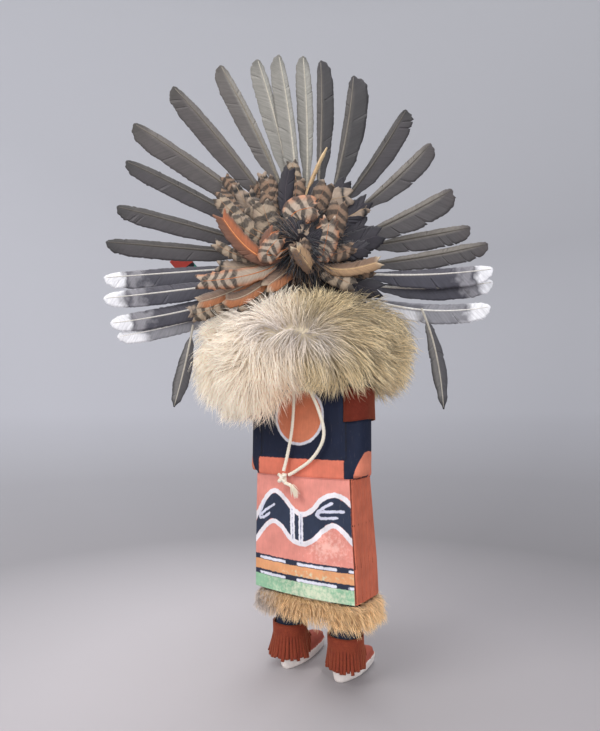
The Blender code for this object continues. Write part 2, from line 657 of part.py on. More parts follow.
def make_cuff(name, leg, end_radius, end_z):
    """A suede ring with its lower part cut into a flaring fringe."""
    inner = LEG_RADIUS + GAP
    verts = []
    faces = []
    columns = CUFF_STRIPS * 2
    slot_share = 0.24
    angles = []
    for k in range(CUFF_STRIPS):
        a = 2.0 * math.pi * k / CUFF_STRIPS
        angles.append(a)
        angles.append(a + 2.0 * math.pi / CUFF_STRIPS * (1.0 - slot_share))
    levels = (
        (CUFF_TOP_Z, inner + 0.6), (CUFF_BAND_Z, inner + 0.5),
    )
    for z, r in levels:
        for a in angles:
            verts.append(Vector((leg[0] + r * math.cos(a), leg[1] + r * math.sin(a), z)))
            out = r + CUFF_WALL
            verts.append(Vector((leg[0] + out * math.cos(a), leg[1] + out * math.sin(a), z)))

    def at(level, column, outer):
        return level * columns * 2 + (column % columns) * 2 + outer

    for c in range(columns):
        faces.append((at(0, c, 1), at(0, c + 1, 1), at(1, c + 1, 1), at(1, c, 1)))
        faces.append((at(0, c, 0), at(1, c, 0), at(1, c + 1, 0), at(0, c + 1, 0)))
        faces.append((at(0, c, 0), at(0, c + 1, 0), at(0, c + 1, 1), at(0, c, 1)))
        if c % 2 == 1:
            faces.append((at(1, c, 0), at(1, c, 1), at(1, c + 1, 1), at(1, c + 1, 0)))
            continue
        base = len(verts)
        front = -math.sin((angles[c] + angles[c] + 2.0 * math.pi / CUFF_STRIPS) / 2.0)
        rise = CUFF_FRONT_RISE * min(1.0, max(0.0, (front - 0.2) / 0.4))
        drop = end_z + rise + 0.9 * math.sin(2.3 * c + leg[0])
        for a in (angles[c], angles[(c + 1) % columns]):
            for r in (end_radius, end_radius + CUFF_WALL * 0.7):
                verts.append(Vector((leg[0] + r * math.cos(a), leg[1] + r * math.sin(a), drop)))
        top = (at(1, c, 0), at(1, c, 1), at(1, c + 1, 0), at(1, c + 1, 1))
        faces.append((top[0], top[1], base + 1, base))
        faces.append((top[2], top[3], base + 3, base + 2))
        faces.append((top[1], top[3], base + 3, base + 1))
        faces.append((top[0], top[2], base + 2, base))
        faces.append((base, base + 1, base + 3, base + 2))
    return make_object(name, verts, faces)


make_cuff("cuff_left", LEFT_LEG, 13.6, 7.6)
make_cuff("cuff_right", RIGHT_LEG, 11.8, 9.2)


make_armband("armband_right", -1.0)
make_armband("armband_left", 1.0)


def make_string(name, path):
    """One strand of the cotton tie."""
    points = [Vector(p) for p in path]
    fine = []
    steps = 3
    for i in range(len(points) - 1):
        p0 = points[max(i - 1, 0)]
        p1 = points[i]
        p2 = points[i + 1]
        p3 = points[min(i + 2, len(points) - 1)]
        for s in range(steps):
            t = s / steps
            fine.append(0.5 * (
                2.0 * p1 + (p2 - p0) * t + (2.0 * p0 - 5.0 * p1 + 4.0 * p2 - p3) * t * t
                + (3.0 * p1 - p0 - 3.0 * p2 + p3) * t ** 3
            ))
    fine.append(points[-1])
    return loft(name, tube_rings(fine, [STRING_RADIUS] * len(fine), 6))


make_string("tie_string_left", (
    (2.0, 31.0, 191.0), (2.6, 28.5, 178.0), (5.6, 26.4, 158.0), (9.0, 26.7, 141.0), (11.0, 28.0, 131.4),
))
make_string("tie_string_right", (
    (-8.0, 31.0, 188.0), (-14.5, 28.5, 174.0), (-18.4, 26.6, 160.0), (-17.0, 26.0, 150.0),
    (-9.4, 26.6, 139.5), (2.2, 27.0, 131.7), (7.2, 27.6, 129.0),
))
knot_rings = []
for dz, r in ((-3.2, 1.2), (-2.4, 2.3), (-0.6, 3.0), (1.2, 2.9), (2.6, 1.9), (3.2, 0.9)):
    knot_rings.append(ellipse(KNOT_CENTRE.x, KNOT_CENTRE.y, KNOT_CENTRE.z + dz, r, r * 0.86, 12))
knot = loft("string_knot", knot_rings)
tail_path = [
    KNOT_CENTRE + Vector(p) for p in (
        (0.0, 0.0, -1.0), (-2.6, 0.0, -3.4), (-6.2, 0.2, -4.0), (-9.4, 0.4, -5.6), (-9.8, 0.2, -10.2),
    )
]
knot_tail = loft("knot_tail_form", tube_rings(tail_path, [1.2, 1.3, 1.4, 1.7, 1.4], 8))
combine(knot, knot_tail, "UNION")

# Move the doll so that the middle of its box is at X = Y = 0
CORDS = ("tie_string_left", "tie_string_right", "string_knot")
bpy.context.view_layer.update()
graph = bpy.context.evaluated_depsgraph_get()
low = Vector((1e9, 1e9))
high = Vector((-1e9, -1e9))
for obj in bpy.data.objects:
    if obj.hide_render or obj.name in CORDS:
        continue
    for corner in obj.evaluated_get(graph).bound_box:
        low = Vector((min(low.x, corner[0]), min(low.y, corner[1])))
        high = Vector((max(high.x, corner[0]), max(high.y, corner[1])))
middle = (low + high) / 2.0
for obj in bpy.data.objects:
    for vertex in obj.data.vertices:
        vertex.co.x -= middle.x
        vertex.co.y -= middle.y
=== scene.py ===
"""Kachina doll seen from behind: painted cottonwood, a fan of wing and tail feathers, a crest
of short body feathers, a fur ruff, suede bands and cuffs, and a cotton tie.

Meshes are shaped in the doll's own millimetres: it faces -Y, its right hand is on -X and its
soles are at Z = 0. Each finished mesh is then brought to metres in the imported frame.
"""

import math
import random

import bmesh
import bpy
import numpy as np
from mathutils import Matrix, Vector, noise


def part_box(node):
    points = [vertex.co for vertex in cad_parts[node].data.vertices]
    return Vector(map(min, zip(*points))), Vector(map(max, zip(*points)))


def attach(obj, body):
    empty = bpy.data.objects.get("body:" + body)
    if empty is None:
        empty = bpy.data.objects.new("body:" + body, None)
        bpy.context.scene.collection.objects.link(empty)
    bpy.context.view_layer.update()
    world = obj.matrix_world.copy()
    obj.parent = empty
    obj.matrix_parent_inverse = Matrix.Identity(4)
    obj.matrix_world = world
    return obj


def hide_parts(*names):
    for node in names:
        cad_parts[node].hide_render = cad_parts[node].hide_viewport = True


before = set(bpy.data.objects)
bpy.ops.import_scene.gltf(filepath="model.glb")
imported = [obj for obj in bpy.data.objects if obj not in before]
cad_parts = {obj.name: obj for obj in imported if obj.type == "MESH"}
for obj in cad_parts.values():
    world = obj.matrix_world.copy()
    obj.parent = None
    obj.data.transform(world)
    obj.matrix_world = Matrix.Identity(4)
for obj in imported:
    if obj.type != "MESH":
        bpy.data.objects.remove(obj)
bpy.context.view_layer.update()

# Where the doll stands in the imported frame
# The two suede armbands sit evenly about the trunk's middle, so their outer edges give the
# trunk's place across, and the back of one gives its place front to back.
MM = 0.001
TRUNK_X = 3.0
ARMBAND_BACK_Y = 21.139
right_band_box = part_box("armband_right")
left_band_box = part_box("armband_left")
SHIFT = Vector((
    (left_band_box[1][0] + right_band_box[0][0]) / 2.0 / MM - TRUNK_X,
    right_band_box[1][1] / MM - ARMBAND_BACK_Y,
    0.0,
))
TO_FRAME = Matrix.Scale(MM, 4) @ Matrix.Translation(SHIFT)


def in_frame(x, y, z):
    """A point of the doll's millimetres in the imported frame's metres."""
    return TO_FRAME @ Vector((x, y, z))


# Camera behind the doll and to its right, a little above half its height
CAMERA_AT = (-204.87, 327.86, 168.0)
CAMERA_LOOK = Vector((0.5586, -0.8250, 0.0855))
camera_data = bpy.data.cameras.new("photo_camera")
camera_data.lens = 27.83
camera_data.sensor_width = 36.0
camera_data.clip_start = 0.005
photo_camera = bpy.data.objects.new("photo_camera", camera_data)
photo_camera.location = in_frame(*CAMERA_AT)
photo_camera.rotation_euler = CAMERA_LOOK.to_track_quat("-Z", "Y").to_euler()
bpy.context.scene.collection.objects.link(photo_camera)
bpy.context.scene.camera = photo_camera
bpy.context.scene.view_settings.view_transform = "Standard"


# Materials: each section below makes its own with these two functions
def paint(code, alpha=1.0):
    """An sRGB hex colour as linear light."""
    channels = [int(code[i:i + 2], 16) / 255.0 for i in (0, 2, 4)]
    linear = [c / 12.92 if c <= 0.04045 else ((c + 0.055) / 1.055) ** 2.4 for c in channels]
    return (*linear, alpha)


def add(material, kind, inputs=None, **settings):
    """Add one shader node with its settings, and set or link its inputs."""
    tree = material.node_tree
    made = tree.nodes.new("ShaderNode" + kind)
    for key, value in settings.items():
        setattr(made, key, value)
    for socket, value in (inputs or {}).items():
        if isinstance(value, bpy.types.NodeSocket):
            tree.links.new(value, made.inputs[socket])
        else:
            made.inputs[socket].default_value = value
    return made


def new_material(name):
    """An empty node material, with the doll's millimetres as its coordinates."""
    material = bpy.data.materials.new(name)
    material.use_nodes = True
    material.node_tree.nodes.clear()
    place = add(material, "TexCoord")
    millimetres = add(material, "Mapping", {
        "Vector": place.outputs["Object"], "Location": -SHIFT, "Scale": (1.0 / MM,) * 3,
    })
    return material, millimetres.outputs["Vector"]


def finish(material, shader, bump=None, distance=0.1):
    """Put a shader and its bump on the material's output."""
    if bump is not None:
        raised = add(material, "Bump", {"Height": bump, "Distance": distance * MM, "Strength": 1.0})
        material.node_tree.links.new(raised.outputs["Normal"], shader.inputs["Normal"])
    add(material, "OutputMaterial", {"Surface": shader.outputs["BSDF"]})
    return material


# Studio: a matt grey paper sweep all round the doll, lit by soft boxes and a pale sky
# The paper lies flat under the doll and curves up into a wall; the boxes hang inside it.
SWEEP_FLAT = 0.75
SWEEP_CURVE = 1.7
SWEEP_TOP = 3.2
SWEEP_CURVE_STEPS = 16
# The paper's tones are painted light and shade: grey steps by distance from the doll, darkest in a band some
# way out, painted shade towards the picture's right, and a painted glow that grows towards the far wall.
PAPER_REACH = 3300.0
PAINTED_GLOW_FROM = 1400.0
PICTURE_RIGHT = (-0.828, -0.561, 0.0)
PAPER_PAINTED_SHADE_TONES = ((0.0, "aeaaac"), (0.05, "a5a1a4"), (0.13, "878588"), (0.3, "949397"), (0.45, "aaaab0"))
paper, paper_place = new_material("grey_paper_sweep")
paper_cloud = add(paper, "TexNoise", {"Vector": paper_place, "Scale": 0.006, "Detail": 3.0})
paper_far = add(paper, "VectorMath", {0: paper_place}, operation="LENGTH")
paper_share = add(paper, "Math", {
    0: paper_cloud.outputs["Fac"], 1: 0.06, 2: paper_far.outputs["Value"],
}, operation="MULTIPLY_ADD")
paper_stops = add(paper, "MapRange", {"Value": paper_share.outputs[0], "From Max": PAPER_REACH})
paper_ramp = add(paper, "ValToRGB", {"Fac": paper_stops.outputs[0]})
for position, code in PAPER_PAINTED_SHADE_TONES[2:]:
    paper_ramp.color_ramp.elements.new(position)
for element, (position, code) in zip(paper_ramp.color_ramp.elements, PAPER_PAINTED_SHADE_TONES):
    element.position = position
    element.color = paint(code)
paper_right = add(paper, "VectorMath", {0: paper_place, 1: PICTURE_RIGHT}, operation="DOT_PRODUCT")
paper_angle = add(paper, "Math", {
    0: paper_right.outputs["Value"], 1: paper_far.outputs["Value"],
}, operation="DIVIDE")
# Painted shade: the paper is lighter towards the picture's left and darker towards its right.
paper_painted_side_shade = add(paper, "MapRange", {
    "Value": paper_angle.outputs[0], "From Min": -0.5, "From Max": 0.5, "To Min": 1.1, "To Max": 0.8,
})
paper_painted_light = add(paper, "VectorMath", {
    0: paper_ramp.outputs["Color"], 3: paper_painted_side_shade.outputs[0],
}, operation="SCALE")
# Painted glow: the paper gives off light of its own, more the farther it lies from the doll.
paper_painted_glow = add(paper, "MapRange", {
    "Value": paper_far.outputs["Value"], "From Min": PAINTED_GLOW_FROM, "From Max": PAPER_REACH, "To Max": 0.25,
})
paper_shader = add(paper, "BsdfPrincipled", {
    "Base Color": paper_painted_light.outputs[0], "Emission Color": (0.95, 0.96, 1.0, 1.0),
    "Emission Strength": paper_painted_glow.outputs[0], "Roughness": 0.85, "Specular IOR Level": 0.2,
})
finish(paper, paper_shader)
sweep = bmesh.new()
profile = [sweep.verts.new((0.0, 0.0, 0.0)), sweep.verts.new((SWEEP_FLAT, 0.0, 0.0))]
for step in range(1, SWEEP_CURVE_STEPS + 1):
    angle = math.pi / 2.0 * step / SWEEP_CURVE_STEPS
    profile.append(sweep.verts.new((
        SWEEP_FLAT + SWEEP_CURVE * math.sin(angle), 0.0, SWEEP_CURVE * (1.0 - math.cos(angle)),
    )))
profile.append(sweep.verts.new((SWEEP_FLAT + SWEEP_CURVE, 0.0, SWEEP_TOP)))
profile_edges = [sweep.edges.new(pair) for pair in zip(profile, profile[1:])]
bmesh.ops.spin(
    sweep, geom=profile + profile_edges, cent=(0, 0, 0), axis=(0, 0, 1), angle=2 * math.pi,
    steps=96, use_merge=True,
)
bmesh.ops.remove_doubles(sweep, verts=sweep.verts, dist=0.0001)
bmesh.ops.recalc_face_normals(sweep, faces=sweep.faces)
bmesh.ops.reverse_faces(sweep, faces=sweep.faces)
sweep_mesh = bpy.data.meshes.new("paper_sweep")
sweep.to_mesh(sweep_mesh)
sweep.free()
sweep_mesh.shade_smooth()
sweep_mesh.materials.append(paper)
paper_sweep = bpy.data.objects.new("paper_sweep", sweep_mesh)
bpy.context.scene.collection.objects.link(paper_sweep)

LIGHT_TARGET = Vector((0.0, 0.0, 0.2))
SOFT_BOXES = (
    ("key_box", Vector((0.45, 1.35, 1.15)), 1.0, 17.0, (1.0, 0.975, 0.95)),
    ("fill_box", Vector((-0.95, 0.65, 0.42)), 0.9, 8.0, (0.96, 0.98, 1.0)),
    ("far_box", Vector((0.3, -1.1, 1.7)), 1.1, 10.0, (1.0, 1.0, 1.0)),
    ("top_box", Vector((0.0, 0.0, 2.4)), 1.6, 26.0, (1.0, 1.0, 1.0)),
)
for name, at, size, watts, tint in SOFT_BOXES:
    box = bpy.data.lights.new(name, "AREA")
    box.size = size
    box.energy = watts
    box.color = tint
    lamp = bpy.data.objects.new(name, box)
    lamp.location = at
    lamp.visible_camera = False
    lamp.rotation_euler = (LIGHT_TARGET - at).to_track_quat("-Z", "Y").to_euler()
    bpy.context.scene.collection.objects.link(lamp)
world = bpy.data.worlds.new("pale_room")
world.use_nodes = True
world.node_tree.nodes["Background"].inputs["Color"].default_value = (0.93, 0.95, 1.0, 1.0)
world.node_tree.nodes["Background"].inputs["Strength"].default_value = 0.55
bpy.context.scene.world = world


# Cotton tie
# A soft white three-ply cotton string holds the ruff and mask. Two strands come out of the
# fur, hang down the back and meet in a small knot whose end has frayed into a brush.
STRING_RADIUS = 1.2
STRING_TWIST_LENGTH = 6.5
STRING_PLIES = 3
SECTION_POINTS = 18
ROUTE_STEPS = 12
LEFT_STRAND = (
    (2.0, 31.0, 191.0), (2.6, 28.5, 178.0), (5.6, 26.4, 158.0), (9.0, 26.7, 141.0),
    (11.0, 28.0, 131.4),
)
RIGHT_STRAND = (
    (-8.0, 31.0, 188.0), (-14.5, 28.5, 174.0), (-18.4, 26.6, 160.0), (-17.0, 26.0, 150.0),
    (-9.4, 26.6, 139.5), (2.2, 27.0, 131.7), (7.2, 27.6, 129.0),
)
KNOT_CENTRE = Vector((11.5, 28.2, 126.9))


def cotton_string():
    """Soft spun cotton: dull, off-white, with darker creases between the plies."""
    material, place = new_material("spun_cotton_string")
    fibre = add(material, "TexNoise", {"Vector": place, "Scale": 1.6, "Detail": 4.0, "Roughness": 0.7})
    tone = add(material, "Mix", {
        0: fibre.outputs["Fac"], 6: paint("e6dac2"), 7: paint("fbf4e4"),
    }, data_type="RGBA")
    shader = add(material, "BsdfPrincipled", {
        "Base Color": tone.outputs[2], "Roughness": 0.9, "Sheen Weight": 0.3, "Sheen Roughness": 0.5,
        "Subsurface Weight": 0.1, "Subsurface Radius": (0.002, 0.0015, 0.001),
    })
    return finish(material, shader, fibre.outputs["Fac"], 0.12)


def smooth_route(route, steps):
    """Points of a soft curve through a route's points."""
    points = [Vector(p) for p in route]
    fine = []
    for i in range(len(points) - 1):
        p0 = points[max(i - 1, 0)]
        p1 = points[i]
        p2 = points[i + 1]
        p3 = points[min(i + 2, len(points) - 1)]
        for s in range(steps):
            t = s / steps
            fine.append(0.5 * (
                2.0 * p1 + (p2 - p0) * t + (2.0 * p0 - 5.0 * p1 + 4.0 * p2 - p3) * t * t
                + (3.0 * p1 - p0 - 3.0 * p2 + p3) * t ** 3
            ))
    fine.append(points[-1])
    return fine


def curve_object(name, splines, bevel=None, depth=0.0, tilt_length=None, hidden=False):
    """A curve of open poly splines, each a list of (point, radius), in the doll's millimetres."""
    data = bpy.data.curves.new(name, "CURVE")
    data.dimensions = "3D"
    data.use_fill_caps = True
    if bevel is not None:
        data.bevel_mode = "OBJECT"
        data.bevel_object = bevel
    data.bevel_depth = depth * MM
    data.bevel_resolution = 1
    for points in splines:
        spline = data.splines.new("POLY")
        spline.points.add(len(points) - 1)
        walked = 0.0
        for i, (point, radius) in enumerate(points):
            if i:
                walked += (point - points[i - 1][0]).length
            spline.points[i].co = (*in_frame(*point), 1.0)
            spline.points[i].radius = radius
            if tilt_length:
                spline.points[i].tilt = 2.0 * math.pi * walked / tilt_length
        spline.use_smooth = True
    made = bpy.data.objects.new(name, data)
    bpy.context.scene.collection.objects.link(made)
    made.hide_render = hidden
    return made


def section_curve(name, radii):
    """The hidden closed curve that gives a string or a hair its section, from evenly turned radii."""
    data = bpy.data.curves.new(name, "CURVE")
    data.dimensions = "2D"
    spline = data.splines.new("POLY")
    spline.points.add(len(radii) - 1)
    for i, radius in enumerate(radii):
        angle = 2.0 * math.pi * i / len(radii)
        spline.points[i].co = (radius * MM * math.cos(angle), radius * MM * math.sin(angle), 0.0, 1.0)
    spline.use_cyclic_u = True
    made = bpy.data.objects.new(name, data)
    bpy.context.scene.collection.objects.link(made)
    made.hide_render = True
    return made


def ply_radius(i):
    """Radius of three round plies pressed together, at one point of the section."""
    return STRING_RADIUS * (0.84 + 0.16 * abs(math.cos(STRING_PLIES * math.pi * i / SECTION_POINTS)))


string_material = cotton_string()
string_profile = section_curve("ply_profile", [ply_radius(i) for i in range(SECTION_POINTS)])
STRANDS = (("tie_string_left", LEFT_STRAND), ("tie_string_right", RIGHT_STRAND))
for node, route in STRANDS:
    fine = smooth_route(route, ROUTE_STEPS)
    strand = curve_object(
        "cotton_" + node, [[(p, 1.0) for p in fine]], bevel=string_profile,
        tilt_length=STRING_TWIST_LENGTH,
    )
    strand.data.materials.append(string_material)
    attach(strand, "root")
    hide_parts(node)

# The knot: a few tight turns of the same string, and its loosened end
KNOT_TURNS = 2.0
KNOT_STEPS = 48
FRAY_THREADS = 90
FRAY_STEPS = 4
knot_line = []
for i in range(KNOT_STEPS + 1):
    t = i / KNOT_STEPS
    angle = 2.0 * math.pi * KNOT_TURNS * t
    wide = 2.0 + 0.7 * math.sin(3.0 * angle)
    knot_line.append((KNOT_CENTRE + Vector((
        wide * math.cos(angle), 1.7 * math.sin(angle), 2.1 * math.sin(1.5 * angle + 0.6),
    )), 0.95))
TAIL = (
    (0.0, 0.6, -1.0), (-2.6, 0.5, -3.0), (-5.2, 0.6, -3.7), (-7.6, 0.6, -4.6),
)
tail_line = [(KNOT_CENTRE + p, 1.0) for p in smooth_route(TAIL, 6)]
knot_body = curve_object(
    "knot_turns", [knot_line, tail_line], bevel=string_profile, tilt_length=STRING_TWIST_LENGTH,
    hidden=True,
)
random.seed(11)
fray = []
tail_end = tail_line[-1][0]
for _ in range(FRAY_THREADS):
    spread = Vector((random.gauss(0.0, 1.0), random.gauss(0.0, 0.5), random.gauss(0.0, 1.0))) * 0.55
    away = Vector((-2.2 - random.random() * 1.6, 0.0, -4.2 - random.random() * 1.5))
    sag = Vector((random.uniform(-0.4, 0.4), random.uniform(-0.3, 0.3), -0.6))
    line = []
    for i in range(FRAY_STEPS + 1):
        t = i / FRAY_STEPS
        line.append((tail_end + spread * (0.6 + 1.3 * t) + away * t + sag * t * t, 1.0 - 0.6 * t))
    fray.append(line)
fray_body = curve_object("knot_fray", fray, depth=0.2, hidden=True)


def as_mesh(*objects):
    """The evaluated meshes of some helper objects as one bmesh, and the helpers are removed."""
    bpy.context.view_layer.update()
    graph = bpy.context.evaluated_depsgraph_get()
    merged = bmesh.new()
    for made in objects:
        mesh = bpy.data.meshes.new_from_object(made.evaluated_get(graph))
        merged.from_mesh(mesh)
        bpy.data.meshes.remove(mesh)
    for made in objects:
        bpy.data.objects.remove(made)
    return merged


def make_piece(name, bm, materials, replaced=(), place=True):
    """Turn a bmesh into a piece of the doll that rides on it and stands for its solids."""
    if place:
        bmesh.ops.transform(bm, matrix=TO_FRAME, verts=bm.verts)
    mesh = bpy.data.meshes.new(name)
    bm.to_mesh(mesh)
    bm.free()
    mesh.shade_smooth()
    for material in materials:
        mesh.materials.append(material)
    piece = bpy.data.objects.new(name, mesh)
    bpy.context.scene.collection.objects.link(piece)
    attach(piece, "root")
    if replaced:
        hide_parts(*replaced)
    return piece


tie_knot = make_piece(
    "tie_knot", as_mesh(knot_body, fray_body), [string_material],
    ("string_knot",), place=False,
)


# Carved and painted wood
# The figure is carved from one cottonwood root and painted with matt poster colours. The
# trunk, arms, mask and sash are one carving; each colour is laid over the last by hand.
SASH_BOTTOM = 127.5
SASH_TOP = 139.3
ARM_SPREAD = 36.5
ARM_HALF_WIDTH = 7.6
ARM_HALF_DEPTH = 9.4
HEAD_X = 2.5
HEAD_TURN = math.radians(-34.0)
HEAD_RADIUS = 27.0
RIGHT_FIST = Vector((-11.0, -26.0, 167.0))
LEFT_FIST = Vector((52.0, -42.0, 186.0))


def painted_wood(name, ground, coats, wear=0.5):
    """Matt poster paint on whittled cottonwood: brush streaks, thin places, an uneven edge."""
    material, place = new_material(name)
    shake = add(material, "TexNoise", {"Vector": place, "Scale": 0.45, "Detail": 3.0, "Roughness": 0.6})
    wobble = add(material, "MapRange", {
        "Value": shake.outputs["Fac"], "From Min": 0.3, "From Max": 0.7, "To Min": -0.3, "To Max": 0.3,
    })
    colour = add(material, "RGB")
    colour.outputs[0].default_value = paint(ground)
    colour = colour.outputs[0]
    for attribute, shade in coats:
        read = add(material, "Attribute", attribute_name=attribute)
        edge = add(material, "Math", {0: read.outputs["Fac"], 1: wobble.outputs[0]}, operation="ADD")
        mask = add(material, "MapRange", {"Value": edge.outputs[0], "From Min": -0.2, "From Max": 0.2})
        laid = add(material, "Mix", {0: mask.outputs[0], 6: colour, 7: paint(shade)}, data_type="RGBA")
        colour = laid.outputs[2]
    stretched = add(material, "Mapping", {"Vector": place, "Scale": (0.9, 0.9, 0.12)})
    streaks = add(material, "TexNoise", {
        "Vector": stretched.outputs[0], "Scale": 1.3, "Detail": 5.0, "Roughness": 0.65,
    })
    clouds = add(material, "TexNoise", {"Vector": place, "Scale": 0.09, "Detail": 4.0})
    streak_range = add(material, "MapRange", {
        "Value": streaks.outputs["Fac"], "From Min": 0.3, "From Max": 0.7, "To Min": 0.93, "To Max": 1.05,
    })
    cloud_range = add(material, "MapRange", {
        "Value": clouds.outputs["Fac"], "From Min": 0.3, "From Max": 0.7, "To Min": 0.86, "To Max": 1.13,
    })
    light = add(material, "Math", {
        0: streak_range.outputs[0], 1: cloud_range.outputs[0],
    }, operation="MULTIPLY")
    shaded = add(material, "VectorMath", {0: colour, 3: light.outputs[0]}, operation="SCALE")
    thin = add(material, "MapRange", {
        "Value": streaks.outputs["Fac"], "From Min": 0.62, "From Max": 0.8, "To Max": 0.3 * wear,
    })
    worn = add(material, "Mix", {
        0: thin.outputs[0], 6: shaded.outputs[0], 7: paint("cbb59c"),
    }, data_type="RGBA")
    grit = add(material, "TexNoise", {"Vector": place, "Scale": 3.5, "Detail": 2.0})
    relief = add(material, "Math", {
        0: streaks.outputs["Fac"], 1: grit.outputs["Fac"],
    }, operation="ADD")
    shader = add(material, "BsdfPrincipled", {
        "Base Color": worn.outputs[2], "Roughness": 0.72, "Specular IOR Level": 0.3,
    })
    return finish(material, shader, relief.outputs[0], 0.12)


def set_coat(mesh, name, values):
    """Keep a painted area's signed distance, in millimetres, on a mesh's points."""
    attribute = mesh.attributes.new(name, "FLOAT", "POINT")
    attribute.data.foreach_set("value", np.asarray(values, np.float32))


def doll_points(mesh):
    """A placed mesh's points in the doll's millimetres."""
    points = np.zeros(len(mesh.vertices) * 3, np.float32)
    mesh.vertices.foreach_get("co", points)
    return points.reshape(-1, 3) / MM - np.array(SHIFT)


def line_distance(flat, path):
    """Distance of flat points to a path of straight runs."""
    best = np.full(len(flat), 1e9)
    for a, b in zip(path, path[1:]):
        a = np.array(a, float)
        run = np.array(b, float) - a
        t = np.clip((flat - a) @ run / (run @ run), 0.0, 1.0)
        best = np.minimum(best, np.linalg.norm(flat - a - t[:, None] * run, axis=1))
    return best


def nearest_line(flat, paths):
    """Distance of flat points to the nearest of several paths."""
    return np.minimum.reduce([line_distance(flat, path) for path in paths])


def solid_copy(node):
    """A merged copy of a solid in the doll's millimetres."""
    bm = bmesh.new()
    bm.from_mesh(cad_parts[node].data)
    bmesh.ops.transform(bm, matrix=TO_FRAME.inverted(), verts=bm.verts)
    bmesh.ops.remove_doubles(bm, verts=bm.verts, dist=0.01)
    return bm


def carved_copy(low, high):
    """The figure's solid between two heights, closed, in the doll's millimetres."""
    bm = solid_copy("figure")
    for height, clear_inner, clear_outer in ((low, True, False), (high, False, True)):
        if height is None:
            continue
        cut = bmesh.ops.bisect_plane(
            bm, geom=bm.verts[:] + bm.edges[:] + bm.faces[:], dist=0.0001, plane_co=(0, 0, height),
            plane_no=(0, 0, 1), clear_inner=clear_inner, clear_outer=clear_outer,
        )
        edges = [e for e in cut["geom_cut"] if isinstance(e, bmesh.types.BMEdge)]
        bmesh.ops.edgeloop_fill(bm, edges=edges)
    return bm


def whittled(bm, voxel, smooth):
    """Close and soften a carving, as a knife and sandpaper leave it."""
    mesh = bpy.data.meshes.new("blank")
    bm.to_mesh(mesh)
    bm.free()
    blank = bpy.data.objects.new("blank", mesh)
    bpy.context.scene.collection.objects.link(blank)
    remesh = blank.modifiers.new("remesh", "REMESH")
    remesh.mode = "VOXEL"
    remesh.voxel_size = voxel
    soften = blank.modifiers.new("soften", "SMOOTH")
    soften.factor = 0.5
    soften.iterations = smooth
    return as_mesh(blank)


body = make_piece(
    "carved_trunk_and_mask", whittled(carved_copy(SASH_BOTTOM + 0.06, None), 1.0, 3),
    [painted_wood("painted_cottonwood_trunk", "131c33", (
        ("sash", "d9775f"), ("oval_ring", "dcdce4"), ("oval", "d98260"), ("forearm", "d27c62"),
        ("arm_line", "14161f"), ("mask", "3f8f8e"), ("mask_back", "1b1d24"), ("brow", "e6ddcc"),
        ("brow_line", "22242c"), ("cheek", "b5432f"), ("eye", "1c1b1f"), ("mouth", "1c1b1f"),
    ))],
    ("figure",),
)
at = doll_points(body.data)
x, y, z = at[:, 0], at[:, 1], at[:, 2]
across = np.abs(x - TRUNK_X)

# Arms: distance from the upper arms' upright ovals, and from the round forearms
ARM_EDGE = 33.2
UPPER_ARM_Y = 9.8
ELBOW_Y = 11.5
ELBOW_Z = 138.0
FOREARM_RADIUS = 10.4
arm_gap = np.full(len(at), 1e9)
limb_gap = np.full(len(at), 1e9)
for side, hand in ((-1.0, RIGHT_FIST), (1.0, LEFT_FIST)):
    axis_x = TRUNK_X + side * ARM_SPREAD
    level = np.hypot((x - axis_x) / ARM_HALF_WIDTH, (y - UPPER_ARM_Y) / ARM_HALF_DEPTH)
    arm_gap = np.minimum(arm_gap, (level - 1.06) * ARM_HALF_WIDTH)
    elbow = np.array((axis_x, ELBOW_Y, ELBOW_Z))
    run = np.array(hand) - elbow
    along = np.clip((at - elbow) @ run / (run @ run), -0.1, 1.2)
    from_bone = np.linalg.norm(at - elbow - along[:, None] * run, axis=1)
    limb_gap = np.minimum(limb_gap, from_bone - FOREARM_RADIUS)
clear_of_arm = np.where(y > 8.0, ARM_EDGE - across, np.minimum(arm_gap, limb_gap) - 1.6)
set_coat(body.data, "sash", np.minimum(SASH_TOP - z, clear_of_arm))
OVAL_Z = 166.7
OVAL_RADIUS = 17.2
RING_RADIUS = 19.0
from_oval = np.hypot(x - TRUNK_X, z - OVAL_Z)
behind = np.where(y > 14.0, 50.0, -50.0)
set_coat(body.data, "oval_ring", np.minimum(RING_RADIUS - from_oval, behind))
set_coat(body.data, "oval", np.minimum(OVAL_RADIUS - from_oval, behind))
paint_edge = np.where(y < 17.3, 145.4 - 0.683 * (y - 5.0), 137.0 - 4.1 * (y - 17.3))
below_elbow = np.maximum(paint_edge - z, 0.6 - y)
front_forearm = np.minimum.reduce([below_elbow, -limb_gap, across - 4.0, 8.0 - y])
back_forearm = np.minimum.reduce([150.0 - 2.6 * (46.0 - across) - z, across - 36.0, y - 7.0])
set_coat(body.data, "forearm", np.maximum(front_forearm, back_forearm))
# Painted shade: a thin near-black line down the back where each upper arm meets the trunk, as in a crease.
set_coat(body.data, "arm_line", np.minimum.reduce([0.4 - np.abs(across - ARM_EDGE), y - 9.0, 176.0 - z]))

